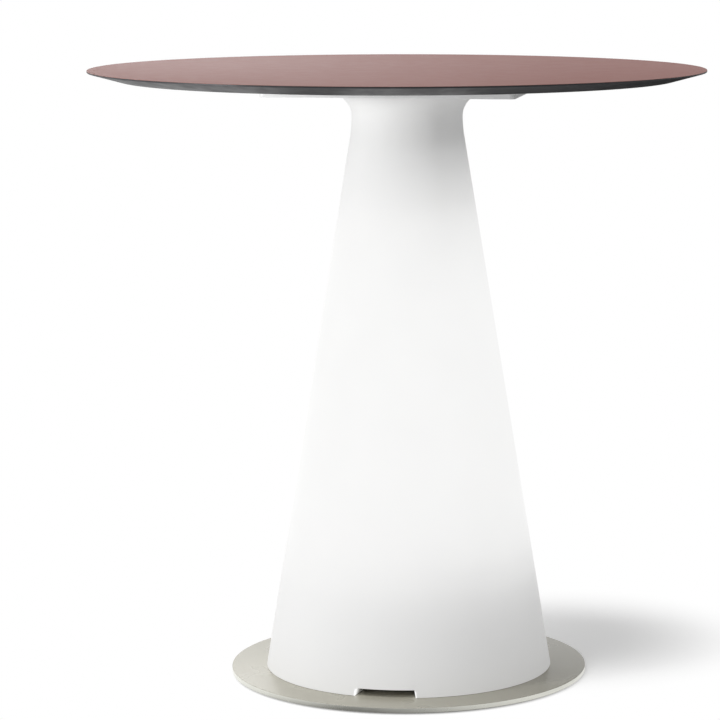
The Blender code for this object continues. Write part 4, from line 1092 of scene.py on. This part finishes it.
def light_room(scene, studio):
    """The world: slanting light on the object, and plain white to the camera and in what mirrors it."""
    scene.world = bpy.data.worlds.new("studio")
    tree = cleared(scene.world)
    light = tree.nodes.new("ShaderNodeBackground")
    white = tree.nodes.new("ShaderNodeBackground")
    for background in (light, white):
        background.inputs["Color"].default_value = WHITE
    tree.links.new(slanting_light(tree, studio), light.inputs["Strength"])
    out = tree.nodes.new("ShaderNodeOutputWorld")
    tree.links.new(mixed(tree, seen_ray(tree), light, white).outputs[0], out.inputs["Surface"])


def soft_box(name, power, size, polar, up, distance, aim, roll=0.0):
    """A square lamp at a polar angle and an angle up, aimed at a height on the column; angles in degrees."""
    turn, rise = math.radians(polar), math.radians(up)
    data = bpy.data.lights.new(name, "AREA")
    data.energy = power
    data.size = size
    lamp = bpy.data.objects.new(name, data)
    bpy.context.scene.collection.objects.link(lamp)
    lamp.location = (
        AXIS_X + distance * math.cos(rise) * math.cos(turn),
        distance * math.cos(rise) * math.sin(turn),
        aim + distance * math.sin(rise),
    )
    aimed = Matrix.Rotation(turn + math.pi / 2, 3, "Z") @ Matrix.Rotation(math.pi / 2 - rise, 3, "X")
    lamp.rotation_euler = (aimed @ Matrix.Rotation(math.radians(roll), 3, "Z")).to_euler()
    lamp.visible_camera = False


def hang_sun(scene, studio):
    """A broad light from above the left, far away."""
    data = bpy.data.lights.new("sun", "SUN")
    data.energy = studio.sun
    data.angle = SUN_WIDTH
    sun = bpy.data.objects.new("sun", data)
    scene.collection.objects.link(sun)
    sun.rotation_euler = (SUN_TILT, 0.0, SUN_TURN)


def in_front(right, back, up, studio):
    """A place to the right of, behind and above the column's foot as the camera sees it.

    For the camera's azimuth a, x = right cos a - back sin a from the column, y = right sin a + back cos a.
    """
    cos, sin = math.cos(studio.azimuth), math.sin(studio.azimuth)
    return AXIS_X + right * cos - back * sin, right * sin + back * cos, up


def mirrored(name, mesh, material):
    """Puts a stage surface into the scene that shows in reflections alone."""
    surface = bpy.data.objects.new(name, mesh)
    bpy.context.scene.collection.objects.link(surface)
    mesh.materials.append(material)
    for rays in ("camera", "diffuse", "transmission", "shadow"):
        setattr(surface, f"visible_{rays}", False)


def dark_card(studio):
    """A black card behind the right, as a studio darkens one side of a gloss."""
    mesh = bpy.data.meshes.new("dark_card")
    corners = [in_front(right, CARD_BACK, up, studio) for right, up in CARD]
    mesh.from_pydata(corners, [], [range(len(corners))])
    mirrored("dark_card", mesh, Finish("black_card", (0.01, 0.01, 0.01), 0.9, specular=0.0).material)


# Painted reflection: a glowing strip that only reflections show, its listed brightness shading the disc's rim
def painted_rim_reflection(studio):
    """Painted reflection in the disc's rim of the floor before it: darkest a little to the left of the
    column.
    """
    mesh = bpy.data.meshes.new("painted_rim_reflection")
    edges = (0.0, -PAINTED_REFLECTION_REACH)
    corners = [in_front(right, back, PAINTED_REFLECTION_HEIGHT, studio) for right, tone in PAINTED_REFLECTION_TONES for back in edges]
    mesh.from_pydata(corners, [], [(i, i + 1, i + 3, i + 2) for i in range(0, len(corners) - 2, 2)])
    tones = np.repeat([tone for right, tone in PAINTED_REFLECTION_TONES], len(edges))
    mesh.attributes.new("tone", "FLOAT", "POINT").data.foreach_set("value", tones)
    made = bpy.data.materials.new("painted_rim_reflection")
    tree = cleared(made)
    tone = tree.nodes.new("ShaderNodeAttribute")
    tone.attribute_name = "tone"
    light = tree.nodes.new("ShaderNodeEmission")
    out = tree.nodes.new("ShaderNodeOutputMaterial")
    tree.links.new(tone.outputs["Fac"], light.inputs["Strength"])
    tree.links.new(light.outputs[0], out.inputs["Surface"])
    mirrored("painted_rim_reflection", mesh, made)


def set_camera(scene, studio):
    """Stands the camera at its azimuth, distance and height round the column's axis."""
    data = bpy.data.cameras.new("camera")
    data.sensor_width = SENSOR_WIDTH
    data.lens = studio.lens
    data.shift_x = studio.shift
    data.clip_end = CAMERA_REACH
    camera = bpy.data.objects.new("camera", data)
    scene.collection.objects.link(camera)
    turn = studio.azimuth
    right, front = studio.distance * math.sin(turn), studio.distance * math.cos(turn)
    camera.location = (AXIS_X + right, -front, studio.height)
    camera.rotation_euler = (math.pi / 2 - studio.pitch, 0.0, turn + studio.pan)
    scene.camera = camera


# Panel and registration


class TABLE_PT_build(bpy.types.Panel):
    """Lists the steps that build the table"""

    bl_idname = "TABLE_PT_build"
    bl_label = "Lit table"
    bl_space_type = "VIEW_3D"
    bl_region_type = "UI"
    bl_category = "Lit table"

    def draw(self, context):
        for operator in OPERATORS:
            self.layout.operator(operator.bl_idname)


OPERATORS = (
    TABLE_OT_finishes,
    TABLE_OT_laminate_top,
    TABLE_OT_lit_cone,
    TABLE_OT_head_plate,
    TABLE_OT_disc_base,
    TABLE_OT_screws,
    TABLE_OT_glides,
    TABLE_OT_studio,
)
CLASSES = (TopSettings, ConeSettings, DiscSettings, StudioSettings, TableSettings, *OPERATORS, TABLE_PT_build)


def register():
    for item in CLASSES:
        bpy.utils.register_class(item)
    bpy.types.Scene.lit_table = PointerProperty(type=TableSettings)


def unregister():
    del bpy.types.Scene.lit_table
    for item in reversed(CLASSES):
        bpy.utils.unregister_class(item)


def main():
    register()
    for operator in OPERATORS:
        group, name = operator.bl_idname.split(".")
        getattr(getattr(bpy.ops, group), name)()
    bpy.context.view_layer.update()


if __name__ == "__main__":
    main()
